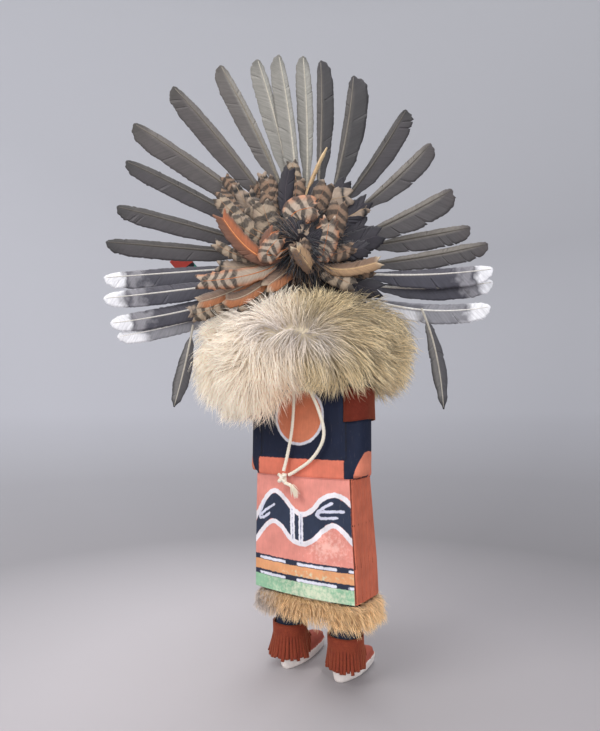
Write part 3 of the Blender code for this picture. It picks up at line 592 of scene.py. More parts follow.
# Mask: plain fields of paint laid out round the turned head, of a general kind
MASK_BOTTOM = 219.5
BROW_Z = 284.5
BROW_HALF = 6.5
BROW_LINE_OFFSET = 4.2
CHEEK_Z = 246.0
EYE_Z = 262.0
MOUTH_Z = 243.0
turned_u = (x - HEAD_X) * math.cos(HEAD_TURN) - y * math.sin(HEAD_TURN)
turned_n = (x - HEAD_X) * math.sin(HEAD_TURN) + y * math.cos(HEAD_TURN)
round_face = HEAD_RADIUS * np.arctan2(turned_u, -turned_n)
from_middle = np.abs(round_face)
face_side = -turned_n - 2.0
set_coat(body.data, "mask", z - MASK_BOTTOM)
set_coat(body.data, "mask_back", np.minimum(turned_n - 2.0, z - MASK_BOTTOM))
set_coat(body.data, "brow", np.minimum(BROW_HALF - np.abs(z - BROW_Z), face_side))
brow_line = 0.9 - np.abs(np.abs(z - BROW_Z) - BROW_LINE_OFFSET)
set_coat(body.data, "brow_line", np.minimum(brow_line, face_side))
set_coat(body.data, "cheek", np.minimum(4.5 - np.abs(z - CHEEK_Z), 7.0 - np.abs(from_middle - 24.0)))
set_coat(body.data, "eye", np.minimum(1.9 - np.abs(z - EYE_Z), 5.0 - np.abs(from_middle - 10.5)))
set_coat(body.data, "mouth", 4.4 - from_middle - 1.4 * np.abs(z - MOUTH_Z))

# Kilt: the back hangs flat as a painted panel, and the sides and front are cut in ribs
# It keeps the solid's crisp grooves, and only gains points for the painted lines to follow.
HEM = 54.0
WAIST = 128.0
kilt_bm = carved_copy(HEM - 0.4, WAIST)
bmesh.ops.delete(kilt_bm, geom=[v for v in kilt_bm.verts if v.co.z < HEM - 0.05], context="VERTS")
for height in np.arange(HEM + 1.0, WAIST, 1.0):
    bmesh.ops.bisect_plane(
        kilt_bm, geom=kilt_bm.verts[:] + kilt_bm.edges[:] + kilt_bm.faces[:], dist=0.0001,
        plane_co=(0, 0, height), plane_no=(0, 0, 1),
    )
for column in np.arange(-37.0, 39.0, 1.0):
    back_faces = [f for f in kilt_bm.faces if f.normal.y > 0.9]
    geometry = set(back_faces)
    for face in back_faces:
        geometry.update(face.edges)
        geometry.update(face.verts)
    bmesh.ops.bisect_plane(
        kilt_bm, geom=list(geometry), dist=0.0001, plane_co=(column, 0, 0), plane_no=(1, 0, 0),
    )
kilt_bm.normal_update()
# Painted shade: points on the ribs' groove floors get a dark coat, as if shade lay in the grooves.
groove_shade_values = []
for vert in kilt_bm.verts:
    middle = Vector((0.0, 0.0, 0.0))
    for edge in vert.link_edges:
        middle += edge.other_vert(vert).co - vert.co
    on_floor = middle.dot(vert.normal) > 0.25 and vert.normal.y < 0.9
    groove_shade_values.append(0.85 if on_floor else -0.75)
kilt = make_piece(
    "carved_kilt", kilt_bm,
    [painted_wood("painted_cottonwood_kilt", "c4694f", (
        ("groove", "59291f"), ("panel", "de8f82"), ("pale_pink", "eeb5a8"), ("band_white", "e9e4e8"),
        ("band_navy", "2b3448"), ("peach", "e0a071"), ("green", "93bf9c"), ("pale_green", "d3dcc0"),
        ("stripe", "2a2f42"), ("dash", "dfdfea"), ("track", "d3d4e4"), ("divider", "e4e2ea"),
        ("divider_line", "6d7396"),
    ))],
)
kilt.data.shade_flat()
# The groove coat is painted shade in the groove floors.
set_coat(kilt.data, "groove", groove_shade_values)
at = doll_points(kilt.data)
x, y, z = at[:, 0], at[:, 1], at[:, 2]
KILT_LEVELS = (54.0, 75.0, 100.0, 128.2)
kilt_right = np.interp(z, KILT_LEVELS, (-38.2, -37.6, -35.9, -34.3)) + 1.3
kilt_left = np.interp(z, KILT_LEVELS, (38.9, 39.0, 39.2, 39.3)) - 0.7
kilt_back = np.interp(z, KILT_LEVELS, (21.5, 21.5, 21.0, 20.2))
panel = np.where(y > kilt_back - 0.5, np.minimum(x - kilt_right + 0.3, kilt_left + 0.3 - x), -2.0)
UPPER_LINE = (
    (40.5, 96.0), (37.0, 101.5), (30.0, 111.9), (22.2, 117.6), (14.5, 114.2), (6.0, 106.9),
    (-1.1, 104.4), (-8.0, 107.4), (-15.0, 114.6), (-22.7, 117.8), (-29.5, 116.2), (-36.5, 110.5),
)
LOWER_LINE = (
    (40.5, 82.5), (36.8, 86.2), (30.0, 93.6), (22.7, 98.0), (15.5, 95.6), (8.0, 88.8),
    (-1.1, 86.2), (-9.0, 89.2), (-15.8, 95.6), (-22.6, 99.6), (-29.0, 96.6), (-36.5, 89.4),
)
upper = [p.to_2d() for p in smooth_route([(a, b, 0.0) for a, b in UPPER_LINE], 6)]
lower = [p.to_2d() for p in smooth_route([(a, b, 0.0) for a, b in LOWER_LINE], 6)]
flat = np.stack([x, z], axis=1)
inside = np.minimum(
    np.interp(-x, [-p.x for p in upper], [p.y for p in upper]) - z,
    z - np.interp(-x, [-p.x for p in lower], [p.y for p in lower]),
)
border = nearest_line(flat, (upper, lower))
set_coat(kilt.data, "panel", panel)
set_coat(kilt.data, "band_white", np.minimum(1.6 - border, panel))
set_coat(kilt.data, "band_navy", np.minimum.reduce([inside, border - 1.5, panel]))
PEACH_TOP = 73.0
GREEN_TOP = 64.0
STRIPE_HALF = 1.65
DASH_HALF = 0.85
TRACK_HALF = 0.85
set_coat(kilt.data, "peach", np.minimum(PEACH_TOP - z, panel))
set_coat(kilt.data, "green", np.minimum(GREEN_TOP - z, panel))
pale = 1.0 - np.hypot((x + 10.0) / 16.0, (z - 57.5) / 5.5)
set_coat(kilt.data, "pale_green", np.minimum(pale * 0.2, panel))
blush = 1.0 - np.hypot((x + 19.0) / 11.0, (z - 86.0) / 8.0)
set_coat(kilt.data, "pale_pink", np.minimum(blush * 0.3 - 0.1, panel))
stripes = STRIPE_HALF - np.minimum(np.abs(z - PEACH_TOP - 0.8), np.abs(z - GREEN_TOP - 0.2))
set_coat(kilt.data, "stripe", np.minimum(stripes, panel))
DASH_RUNS = ((33.4, 12.4), (2.2, -24.8), (-33.8, -36.0))
dashes = [
    ((start, height), (end, height))
    for height in (PEACH_TOP + 0.4, GREEN_TOP - 0.4) for start, end in DASH_RUNS
]
set_coat(kilt.data, "dash", np.minimum(DASH_HALF - nearest_line(flat, dashes), panel))
TRACKS = (
    ((-22.1, 113.0), (-16.3, 109.9), (-12.3, 107.2), (-11.2, 105.0)),
    ((-29.7, 108.4), (-17.4, 107.4), (-13.0, 106.6)),
    ((-25.6, 104.2), (-14.6, 103.2), (-11.2, 105.0)),
    ((30.5, 110.2), (33.6, 104.5), (35.2, 100.6), (35.0, 98.8)),
    ((21.8, 108.8), (29.8, 104.2), (34.0, 101.0)),
    ((25.9, 102.8), (31.4, 99.2), (35.0, 98.8)),
)
set_coat(kilt.data, "track", np.minimum(TRACK_HALF - nearest_line(flat, TRACKS), panel))
DIVIDERS = (((6.9, 109.0), (6.1, 88.5)), ((0.2, 104.5), (-0.3, 86.5)))
divider = nearest_line(flat, DIVIDERS)
set_coat(kilt.data, "divider", np.minimum.reduce([1.7 - divider, inside + 0.5, panel]))
set_coat(kilt.data, "divider_line", np.minimum.reduce([0.3 - divider, inside, panel]))

# Legs and moccasins: navy legs, red uppers with a dark seam and thick white soles
SOLE_TOP = 6.5
UPPER_TOP = 16.0
LEG_RADIUS = 10.0
LEFT_LEG = (23.7, 2.0)
RIGHT_LEG = (-19.5, 2.0)
legs = make_piece(
    "carved_legs_and_moccasins", whittled(carved_copy(None, HEM - 0.4), 0.7, 2),
    [painted_wood("painted_cottonwood_legs", "232b40", (("upper", "a5503f"), ("sole", "e9e0da")), 0.8)],
)
at = doll_points(legs.data)
from_leg = np.minimum.reduce([
    np.hypot(at[:, 0] - leg_x, at[:, 1] - leg_y) for leg_x, leg_y in (LEFT_LEG, RIGHT_LEG)
])
set_coat(legs.data, "upper", np.maximum(from_leg - LEG_RADIUS, UPPER_TOP - at[:, 2]))
set_coat(legs.data, "sole", SOLE_TOP - at[:, 2])


# Suede armbands and ankle cuffs
# Rust-brown split suede. A plain strip is glued round each upper arm; each cuff is a wider
# strip wrapped round the ankle, its lower half cut with scissors into a flaring fringe.
BAND_BOTTOM = 164.0
BAND_TOP = 185.0
BAND_FROM = -22.0
BAND_SWEEP = 182.0
ARM_SQUARENESS = 2.7
SUEDE_WALL = 1.2
CUFF_RADIUS = 10.5
CUFF_TOP = 28.6
CUFF_CUT = 21.5
CUFF_STRIPS = 34
STRIP_HALF = 0.47
CUFF_BAND_ROWS = 4
CUFF_FRINGE_ROWS = 9
CUFFS = (("cuff_left", LEFT_LEG, 13.6, 7.6), ("cuff_right", RIGHT_LEG, 11.8, 9.2))


def suede(name, low, high, rubbed_flat):
    """Split suede: a soft nap that catches light unevenly, darker where it was rubbed flat."""
    material, place = new_material(name)
    nap = add(material, "TexNoise", {"Vector": place, "Scale": 2.2, "Detail": 6.0, "Roughness": 0.75})
    rubbed = add(material, "TexNoise", {"Vector": place, "Scale": 0.28, "Detail": 3.0})
    nap_tone = add(material, "MapRange", {"Value": nap.outputs["Fac"], "From Min": 0.32, "From Max": 0.68})
    tone = add(material, "Mix", {
        0: nap_tone.outputs[0], 6: paint(low), 7: paint(high),
    }, data_type="RGBA")
    rub_tone = add(material, "MapRange", {
        "Value": rubbed.outputs["Fac"], "From Min": 0.45, "From Max": 0.7, "To Max": 0.55,
    })
    flat_tone = add(material, "Mix", {
        0: rub_tone.outputs[0], 6: tone.outputs[2], 7: paint(rubbed_flat),
    }, data_type="RGBA")
    shader = add(material, "BsdfPrincipled", {
        "Base Color": flat_tone.outputs[2], "Roughness": 0.95, "Specular IOR Level": 0.15,
        "Sheen Weight": 0.5, "Sheen Roughness": 0.45, "Sheen Tint": paint("e0906a"),
    })
    return finish(material, shader, nap.outputs["Fac"], 0.25)


def finish_suede(bm, name, node, material):
    """Give a suede strip its thickness and make it a piece."""
    piece = make_piece(name, bm, [material], (node,))
    wall = piece.modifiers.new("thickness", "SOLIDIFY")
    wall.thickness = SUEDE_WALL * MM
    wall.offset = 1.0
    return piece


def squared(value):
    """A cosine or sine for the upper arm's section, which is rounder than a box and fuller than an oval."""
    return math.copysign(abs(value) ** (2.0 / ARM_SQUARENESS), value)


band_suede = suede("dark_rust_suede", "4f1d17", "7d3526", "5e241b")
cuff_suede = suede("rust_brown_suede", "682920", "9c4c34", "722f27")
for node, side in (("armband_right", -1.0), ("armband_left", 1.0)):
    band = bmesh.new()
    bmesh.ops.create_grid(band, x_segments=44, y_segments=14, size=0.5)
    for vert in band.verts:
        angle = math.radians(BAND_FROM + BAND_SWEEP * (vert.co.x + 0.5))
        rise = vert.co.y + 0.5
        c = squared(math.cos(angle))
        s = squared(math.sin(angle))
        ragged = 0.35 * noise.noise(Vector((angle * 3.0, rise * 2.0, side * 5.0)))
        edge = 0.9 * math.sin(angle * 1.7 + side) * (1.0 - rise)
        out = 0.45 + 1.0 * (1.0 - rise) * max(0.0, s) + ragged * 0.4
        vert.co = Vector((
            TRUNK_X + side * (ARM_SPREAD + (ARM_HALF_WIDTH + out) * s),
            9.6 - 0.7 * rise + (ARM_HALF_DEPTH + 0.9 + ragged * 0.3) * c,
            BAND_BOTTOM + (BAND_TOP - BAND_BOTTOM) * rise + ragged + edge,
        ))
    if side > 0.0:
        bmesh.ops.reverse_faces(band, faces=band.faces)
    finish_suede(band, "suede_" + node, node, band_suede)

random.seed(5)
for node, (leg_x, leg_y), end_radius, end_z in CUFFS:
    cuff = bmesh.new()
    rows = CUFF_BAND_ROWS + CUFF_FRINGE_ROWS
    bmesh.ops.create_grid(cuff, x_segments=CUFF_STRIPS * 3, y_segments=rows, size=0.5)
    slits = []
    for face in cuff.faces:
        middle = face.calc_center_median()
        column = int((middle.x + 0.5) * CUFF_STRIPS * 3)
        if column % 3 == 2 and (middle.y + 0.5) * rows < CUFF_FRINGE_ROWS:
            slits.append(face)
    bmesh.ops.delete(cuff, geom=slits, context="FACES")
    habits = [
        (random.gauss(0.0, 0.02), random.gauss(0.0, 0.35), random.uniform(-1.1, 0.9), random.gauss(0, 0.5))
        for _ in range(CUFF_STRIPS + 1)
    ]
    for vert in cuff.verts:
        column = (vert.co.x + 0.5) * CUFF_STRIPS * 3
        strip = int((column + 0.01) // 3) % CUFF_STRIPS
        inside_strip = column - strip * 3 if column < CUFF_STRIPS * 3 else 0.0
        share = (0.0, STRIP_HALF, 2.0 * STRIP_HALF)[int(round(inside_strip)) % 3]
        strip_at = strip if column < CUFF_STRIPS * 3 - 0.5 else CUFF_STRIPS
        angle = 2.0 * math.pi * (strip_at + share) / CUFF_STRIPS - 1.2
        rise = (vert.co.y + 0.5) * rows
        if rise >= CUFF_FRINGE_ROWS - 0.01:
            t = (rise - CUFF_FRINGE_ROWS) / CUFF_BAND_ROWS
            height = CUFF_CUT + (CUFF_TOP - CUFF_CUT) * t
            radius = CUFF_RADIUS + 0.25 * math.sin(3.0 * angle) * t
        else:
            t = 1.0 - rise / CUFF_FRINGE_ROWS
            lean, curl, longer, sway = habits[strip]
            front = min(1.0, max(0.0, (-math.sin(angle) - 0.2) / 0.4))
            lowest = end_z + 9.8 * front + longer
            height = CUFF_CUT + (lowest - CUFF_CUT) * t
            radius = CUFF_RADIUS + (end_radius - CUFF_RADIUS) * t ** 1.15 + curl * t * t
            angle += lean * t + 0.02 * sway * math.sin(t * 5.0) * t
            angle += (STRIP_HALF - share) * 0.12 * t * 2.0 * math.pi / CUFF_STRIPS
        vert.co = Vector((leg_x + radius * math.cos(angle), leg_y + radius * math.sin(angle), height))
    bmesh.ops.remove_doubles(cuff, verts=cuff.verts, dist=0.002)
    finish_suede(cuff, "suede_" + node, node, cuff_suede)


# Painted wand
# A flat wooden stick held in the left fist, painted red with a black and a blue-green wedge
# near its end. The fist closes round its thin lower part.
WAND_AXIS = Vector((0.420, 0.529, 0.738)).normalized()
WAND_FACE = WAND_AXIS.cross(Vector((0.5586, -0.8250, 0.0))).normalized()
wand_bm = solid_copy("wand")
bmesh.ops.dissolve_limit(wand_bm, angle_limit=0.03, verts=wand_bm.verts, edges=wand_bm.edges)
for reach in range(-24, 138, 2):
    bmesh.ops.bisect_plane(
        wand_bm, geom=wand_bm.verts[:] + wand_bm.edges[:] + wand_bm.faces[:], dist=0.0001,
        plane_co=LEFT_FIST + WAND_AXIS * reach, plane_no=WAND_AXIS,
    )
bmesh.ops.bisect_plane(
    wand_bm, geom=wand_bm.verts[:] + wand_bm.edges[:] + wand_bm.faces[:], dist=0.0001,
    plane_co=LEFT_FIST, plane_no=WAND_FACE,
)
wand = make_piece(
    "painted_wand", wand_bm,
    [painted_wood("painted_cottonwood_wand", "b4423a", (
        ("wedge_blue", "3f8077"), ("wedge_black", "1f1f24"),
    ))],
    ("wand",),
)
wand.data.shade_flat()
at = doll_points(wand.data) - np.array(LEFT_FIST)
reach = at @ np.array(WAND_AXIS)
wide = np.abs(at @ np.array(WAND_FACE))
set_coat(wand.data, "wedge_blue", np.minimum(126.0 - reach, reach - 96.0))
set_coat(wand.data, "wedge_black", np.minimum(127.0 - reach, 8.0 - wide * 1.1 - (126.0 - reach)))


# Feathers
# Real feathers: a horny shaft with a vane of barbs on each side. The barbs leave the shaft
# at a slant and part here and there, so the edges are a little ragged.
BARB_SPACING = 0.85
ROW_SPACING = 1.25
VANE_COLUMNS = 6
VANE_THICKNESS = 0.2
BAR_SOFTNESS = 0.42
SHAFT_SAMPLES = 40
QUILL_RING = 8
QUILL_STEPS = 14
FEATHER_OUT = Vector((math.sin(HEAD_TURN), math.cos(HEAD_TURN), 0.0))


def head_point(u, n, z):
    """A point given across the head, out of its back and up."""
    c = math.cos(HEAD_TURN)
    s = math.sin(HEAD_TURN)
    return Vector((HEAD_X + u * c + n * s, -u * s + n * c, z))


def bezier(a, b, c, t):
    """A point on a curve from a to c that leans towards b."""
    return a * (1.0 - t) ** 2 + b * 2.0 * t * (1.0 - t) + c * t * t


def feather_vane(name, base, edge, tip, tip_start=0.92, tip_soft=0.06, lead=None, bars=None,
                 patch=None, shaft="b9ad99", rough=0.5):
    """Keratin barbs: dull satin, streaked along the barbs, with this bird's own markings.
    bars is (colour, spacing mm, share, slant mm, how far from the tip they reach)."""
    material, place = new_material(name)
    along = add(material, "Attribute", attribute_name="along")
    reach = add(material, "Attribute", attribute_name="reach")
    barb = add(material, "Attribute", attribute_name="barb")
    side = add(material, "Attribute", attribute_name="side")
    quill = add(material, "Attribute", attribute_name="quill")
    width = add(material, "Math", {0: side.outputs["Fac"]}, operation="ABSOLUTE")
    barb_place = add(material, "CombineXYZ", {"X": barb.outputs["Fac"], "Y": width.outputs[0]})
    offset = add(material, "VectorMath", {
        0: place, 1: (0.02, 0.02, 0.02),
    }, operation="MULTIPLY")
    shifted = add(material, "VectorMath", {0: barb_place.outputs[0], 1: offset.outputs[0]}, operation="ADD")
    streak = add(material, "TexNoise", {
        "Vector": shifted.outputs[0], "Scale": 0.75, "Detail": 5.0, "Roughness": 0.75,
    })
    cloud = add(material, "TexNoise", {"Vector": place, "Scale": 0.12, "Detail": 3.0})
    jitter = add(material, "MapRange", {
        "Value": cloud.outputs["Fac"], "From Min": 0.3, "From Max": 0.7, "To Min": -1.0, "To Max": 1.0,
    })
    rim = add(material, "MapRange", {"Value": width.outputs[0], "From Min": 0.55, "From Max": 1.05})
    rimmed = add(material, "Mix", {
        0: rim.outputs[0], 6: paint(base), 7: paint(edge),
    }, data_type="RGBA")
    colour = rimmed.outputs[2]
    if lead:
        leading = add(material, "MapRange", {
            "Value": side.outputs["Fac"], "From Min": 0.05, "From Max": 0.25, "To Max": 0.85,
        })
        led = add(material, "Mix", {0: leading.outputs[0], 6: colour, 7: paint(lead)}, data_type="RGBA")
        colour = led.outputs[2]
    if bars:
        bar_colour, spacing, share, slant, limit = bars
        bent = add(material, "Math", {0: width.outputs[0], 1: slant, 2: reach.outputs["Fac"]},
                   operation="MULTIPLY_ADD")
        waved = add(material, "Math", {0: jitter.outputs[0], 1: 0.24 * spacing, 2: bent.outputs[0]},
                    operation="MULTIPLY_ADD")
        turns = add(material, "Math", {0: waved.outputs[0], 1: 2.0 * math.pi / spacing}, operation="MULTIPLY")
        wave = add(material, "Math", {0: turns.outputs[0]}, operation="SINE")
        level = math.cos(math.pi * share)
        bar = add(material, "MapRange", {
            "Value": wave.outputs[0], "From Min": level - BAR_SOFTNESS, "From Max": level + BAR_SOFTNESS,
        })
        fade = add(material, "MapRange", {
            "Value": reach.outputs["Fac"], "From Min": limit - 2.0, "From Max": limit + 2.0, "To Min": 1.0,
            "To Max": 0.0,
        })
        uneven = add(material, "MapRange", {
            "Value": streak.outputs["Fac"], "From Min": 0.25, "From Max": 0.6, "To Min": 0.45, "To Max": 0.95,
        })
        patchy = add(material, "Math", {0: bar.outputs[0], 1: uneven.outputs[0]}, operation="MULTIPLY")
        shown = add(material, "Math", {0: patchy.outputs[0], 1: fade.outputs[0]}, operation="MULTIPLY")
        barred = add(material, "Mix", {
            0: shown.outputs[0], 6: colour, 7: paint(bar_colour),
        }, data_type="RGBA")
        colour = barred.outputs[2]
    if patch:
        patch_colour, low, high = patch
        patch_place = add(material, "Math", {0: jitter.outputs[0], 1: 0.05, 2: along.outputs["Fac"]},
                          operation="MULTIPLY_ADD")
        patch_low = add(material, "MapRange", {
            "Value": patch_place.outputs[0], "From Min": low, "From Max": low + 0.05,
        })
        patch_high = add(material, "MapRange", {
            "Value": patch_place.outputs[0], "From Min": high - 0.05, "From Max": high, "To Min": 1.0,
            "To Max": 0.0,
        })
        in_patch = add(material, "Math", {0: patch_low.outputs[0], 1: patch_high.outputs[0]},
                       operation="MULTIPLY")
        patched = add(material, "Mix", {
            0: in_patch.outputs[0], 6: colour, 7: paint(patch_colour),
        }, data_type="RGBA")
        colour = patched.outputs[2]
    tip_place = add(material, "Math", {0: jitter.outputs[0], 1: 0.02, 2: along.outputs["Fac"]},
                    operation="MULTIPLY_ADD")
    tip_mask = add(material, "MapRange", {
        "Value": tip_place.outputs[0], "From Min": tip_start, "From Max": tip_start + tip_soft,
    })
    tipped = add(material, "Mix", {0: tip_mask.outputs[0], 6: colour, 7: paint(tip)}, data_type="RGBA")
    horn = add(material, "Mix", {
        0: quill.outputs["Fac"], 6: tipped.outputs[2], 7: paint(shaft),
    }, data_type="RGBA")
    streak_light = add(material, "MapRange", {
        "Value": streak.outputs["Fac"], "From Min": 0.28, "From Max": 0.72, "To Min": 0.7, "To Max": 1.22,
    })
    lit = add(material, "VectorMath", {0: horn.outputs[2], 3: streak_light.outputs[0]}, operation="SCALE")
    line_turns = add(material, "Math", {
        0: barb.outputs["Fac"], 1: 2.0 * math.pi / BARB_SPACING,
    }, operation="MULTIPLY")
    line = add(material, "Math", {0: line_turns.outputs[0]}, operation="SINE")
    relief = add(material, "Math", {0: streak.outputs["Fac"], 1: 2.0, 2: line.outputs[0]},
                 operation="MULTIPLY_ADD")
    shader = add(material, "BsdfPrincipled", {
        "Base Color": lit.outputs[0], "Roughness": rough, "Specular IOR Level": 0.35,
        "Sheen Weight": 0.15, "Sheen Roughness": 0.4,
    })
    return finish(material, shader, relief.outputs[0], 0.05)


def table_value(table, t):
    """A width read from a table of (place, share) with soft steps."""
    for (t0, v0), (t1, v1) in zip(table, table[1:]):
        if t <= t1:
            f = max(0.0, (t - t0) / (t1 - t0))
            return v0 + (v1 - v0) * f * f * (3.0 - 2.0 * f)
    return table[-1][1]


def shaft_place(curve, length, out, along):
    """Point and sideways direction at a distance along a shaft, which runs straight past its ends."""
    a, b, c = curve
    t = min(1.0, max(0.0, along / length))
    ahead = (b - a) * (1.0 - t) + (c - b) * t
    if ahead.length < 1e-6:
        ahead = c - a
    ahead.normalize()
    past = along - t * length
    return bezier(a, b, c, t) + ahead * past, out.cross(ahead).normalized()


def feather_mesh(curve, out, left, right, table, shaft_radius, splits, cup, seed, slant=0.62,
                 ragged=0.15, blunt=1.0):
    """One feather as a bmesh with its markings' places kept on its points.
    left and right are half widths; the first points of the table are the bare quill.
    splits is the number of partings, cup the curl of the vane, ragged the unevenness of its edge
    in millimetres, and blunt the share of the length that the shaft runs before the barbs close."""
    a, b, c = curve
    samples = [bezier(a, b, c, i / SHAFT_SAMPLES) for i in range(SHAFT_SAMPLES + 1)]
    length = sum((q - p).length for p, q in zip(samples, samples[1:]))
    drawn = random.Random(seed)
    bare = next(t for (t, w), (_, w2) in zip(table, table[1:]) if w2 > 0.0)
    rows = max(10, int(length * (1.0 - bare) / ROW_SPACING))
    bm = bmesh.new()
    layers = {k: bm.verts.layers.float.new(k) for k in ("along", "reach", "barb", "side", "quill")}
    bmesh.ops.create_grid(bm, x_segments=2 * VANE_COLUMNS, y_segments=rows, size=1.0)
    gaps = []
    for _ in range(splits):
        gaps.append((
            int(rows * drawn.uniform(0.12, 0.9)), drawn.choice((-1.0, 1.0)), drawn.uniform(1.2, 4.0),
            drawn.uniform(0.06, 0.24),
        ))
    for row, which, _, _ in gaps:
        height = -1.0 + 2.0 * row / rows
        cut = [
            e for e in bm.edges
            if all(abs(v.co.y - height) < 0.2 / rows and v.co.x * which > -0.001 for v in e.verts)
            and max(v.co.x * which for v in e.verts) > 0.3
        ]
        if cut:
            bmesh.ops.split_edges(bm, edges=cut)
    row_ragged = [drawn.gauss(0.0, ragged) for _ in range(rows + 2)]
    wave_phase = drawn.uniform(0.0, 6.28)
    for vert in bm.verts:
        place = (vert.co.y + 1.0) / 2.0
        row = place * rows
        across = vert.co.x
        inner = sum((f.calc_center_median().y for f in vert.link_faces)) / max(1, len(vert.link_faces))
        above = 1.0 if inner > vert.co.y else -1.0
        root = (bare + place * (blunt - bare)) * length
        half = left if across > 0.0 else right
        w = half * table_value(table, root / length)
        for _ in range(8):
            ahead_mm = min(w * slant * 1.3, length - root)
            w = (w + half * table_value(table, min(1.0, (root + ahead_mm) / length))) / 2.0
        w = max(0.25, w + row_ragged[int(round(row))] * min(1.0, w / 4.0))
        swept = min(w * slant * 1.3, length - root) * abs(across)
        for gap_row, which, spread, amount in gaps:
            if across * which <= 0.0:
                continue
            distance = row - gap_row
            sign = above if abs(distance) < 0.01 else math.copysign(1.0, distance)
            swept += sign * amount * abs(across) * w * math.exp(-abs(distance) / (spread * 2.0)) * 0.5
        along = root + swept
        at, sideways = shaft_place(curve, length, out, along)
        sink = cup * across * across * (w / max(1.0, half))
        ripple = 0.18 * math.sin(row * 0.35 + wave_phase + across * 2.0) * abs(across)
        vert.co = at + sideways * (across * w) + out * (ripple - sink)
        vert[layers["along"]] = along / length
        vert[layers["reach"]] = length - along
        vert[layers["barb"]] = root
        vert[layers["side"]] = across if left > right else -across
    rings = []
    for i in range(QUILL_STEPS + 1):
        t = i / QUILL_STEPS
        at, sideways = shaft_place(curve, length, out, t * length * blunt * 0.985)
        radius = shaft_radius * (1.0 - 0.78 * t)
        ring = []
        for k in range(QUILL_RING):
            angle = 2.0 * math.pi * k / QUILL_RING
            vert = bm.verts.new(at + sideways * radius * math.cos(angle) + out * radius * math.sin(angle))
            vert[layers["along"]] = t
            vert[layers["barb"]] = t * length
            vert[layers["quill"]] = 1.0
            ring.append(vert)
        rings.append(ring)
    for low, high in zip(rings, rings[1:]):
        for k in range(QUILL_RING):
            bm.faces.new((low[k], low[(k + 1) % QUILL_RING], high[(k + 1) % QUILL_RING], high[k]))
    bm.faces.new(list(reversed(rings[0])))
    bm.faces.new(rings[-1])
    return bm


def make_feather(name, bm, material, replaced=()):
    """A feather piece whose vane has its real thickness."""
    piece = make_piece(name, bm, [material], replaced)
    wall = piece.modifiers.new("thickness", "SOLIDIFY")
    wall.thickness = VANE_THICKNESS * MM
    wall.offset = 0.0
    return piece


# Fan: wing and tail feathers of a pigeon-grey bird, glued in an arc behind the mask
# Each row: direction of the root from the fan's centre, tip (u, z), bow, narrow vane, wide vane
FAN_U = 3.0
FAN_Z = 271.0
FAN_LAYERS = (20.0, 22.6, 25.2)
FAN_ROOT_RADIUS = 20.0
FAN_LEFT_COUNT = 13
FAN_CLEARANCE = 1.2
FAN_START_STEP = 0.005
CROWN_Z = 299.7
FAN = (
    (-50.0, 132.0, 218.5, -4.6, 5.0, 6.8), (-45.0, 136.0, 227.0, -4.0, 5.5, 7.5),
    (-38.0, 140.0, 243.0, -1.0, 4.5, 8.0), (-13.0, 142.0, 258.0, 0.0, 3.6, 9.0),
    (1.5, 140.5, 281.5, 0.0, 3.4, 8.8), (5.0, 133.0, 304.5, 1.0, 3.4, 8.8),
    (22.5, 129.5, 338.0, 2.0, 3.4, 8.8), (45.0, 124.0, 363.0, 2.0, 3.4, 11.6),
    (43.5, 97.5, 387.5, 2.5, 3.4, 10.8), (62.0, 66.5, 406.0, 2.5, 3.2, 10.0),
    (60.0, 41.0, 408.5, 2.5, 3.2, 8.8), (61.0, 26.5, 410.0, 2.5, 3.2, 8.6),
    (72.5, 10.0, 412.5, 2.5, 4.4, 6.6), (90.5, -2.0, 407.5, 2.5, 3.3, 8.2),
    (105.5, -24.0, 395.0, 3.5, 3.3, 11.8), (100.0, -60.0, 374.0, 3.5, 3.3, 10.0),
    (114.0, -75.5, 349.0, 3.5, 3.3, 10.2), (153.5, -88.5, 316.0, 2.0, 3.3, 12.4),
    (163.0, -101.5, 292.0, 0.5, 3.4, 9.6), (197.5, -112.0, 280.0, 2.0, 3.4, 8.8),
    (212.0, -114.0, 262.5, 3.0, 3.8, 9.6), (225.5, -115.5, 255.0, 5.0, 4.0, 8.4),
    (240.0, -112.5, 238.0, 9.0, 4.4, 8.8),
)
FAN_TABLE = (
    (0.0, 0.0), (0.13, 0.0), (0.26, 0.5), (0.42, 0.84), (0.62, 1.0), (0.84, 0.98), (0.94, 0.82),
    (0.985, 0.5), (1.0, 0.1),
)
white_tail = feather_vane(
    "white_tipped_tail_feather", "54525a", "48464e", "eeedf0", 0.88, 0.03, lead="45444d",
    patch=("8d8b90", 0.76, 0.9), shaft="d8d3cb",
)
white_web = feather_vane(
    "white_webbed_tail_feather", "66656b", "96959b", "f2f1f3", 0.84, 0.05, lead="e2e1e5",
    patch=("8a898e", 0.5, 0.84), shaft="ece8e2",
)
grey_primary = feather_vane(
    "grey_brown_wing_feather", "6c6662", "57524f", "474340", 0.88, 0.1, lead="4f4a4a", shaft="6b6358",
)
slate_primary = feather_vane(
    "slate_wing_feather", "4d4947", "43403f", "383636", 0.88, 0.1, lead="464245", shaft="5c564e",
)
barred_primary = feather_vane(
    "barred_base_wing_feather", "8e8982", "7a756f", "5f5a55", 0.9, 0.1, lead="5b5654", shaft="857c6e",
)
pale_primary = feather_vane(
    "pale_grey_green_wing_feather", "a09d95", "8b8983", "77756f", 0.9, 0.09, lead="8a8780", shaft="c2bbac",
)
dark_primary = feather_vane(
    "dark_wing_feather", "7c766f", "68625c", "514b4b", 0.86, 0.12, lead="484548", shaft="5a544c",
)
dusky_primary = feather_vane(
    "dusky_wing_feather", "56524f", "474443", "3e3b3e", 0.88, 0.1, lead="393739", shaft="7a736a",
)
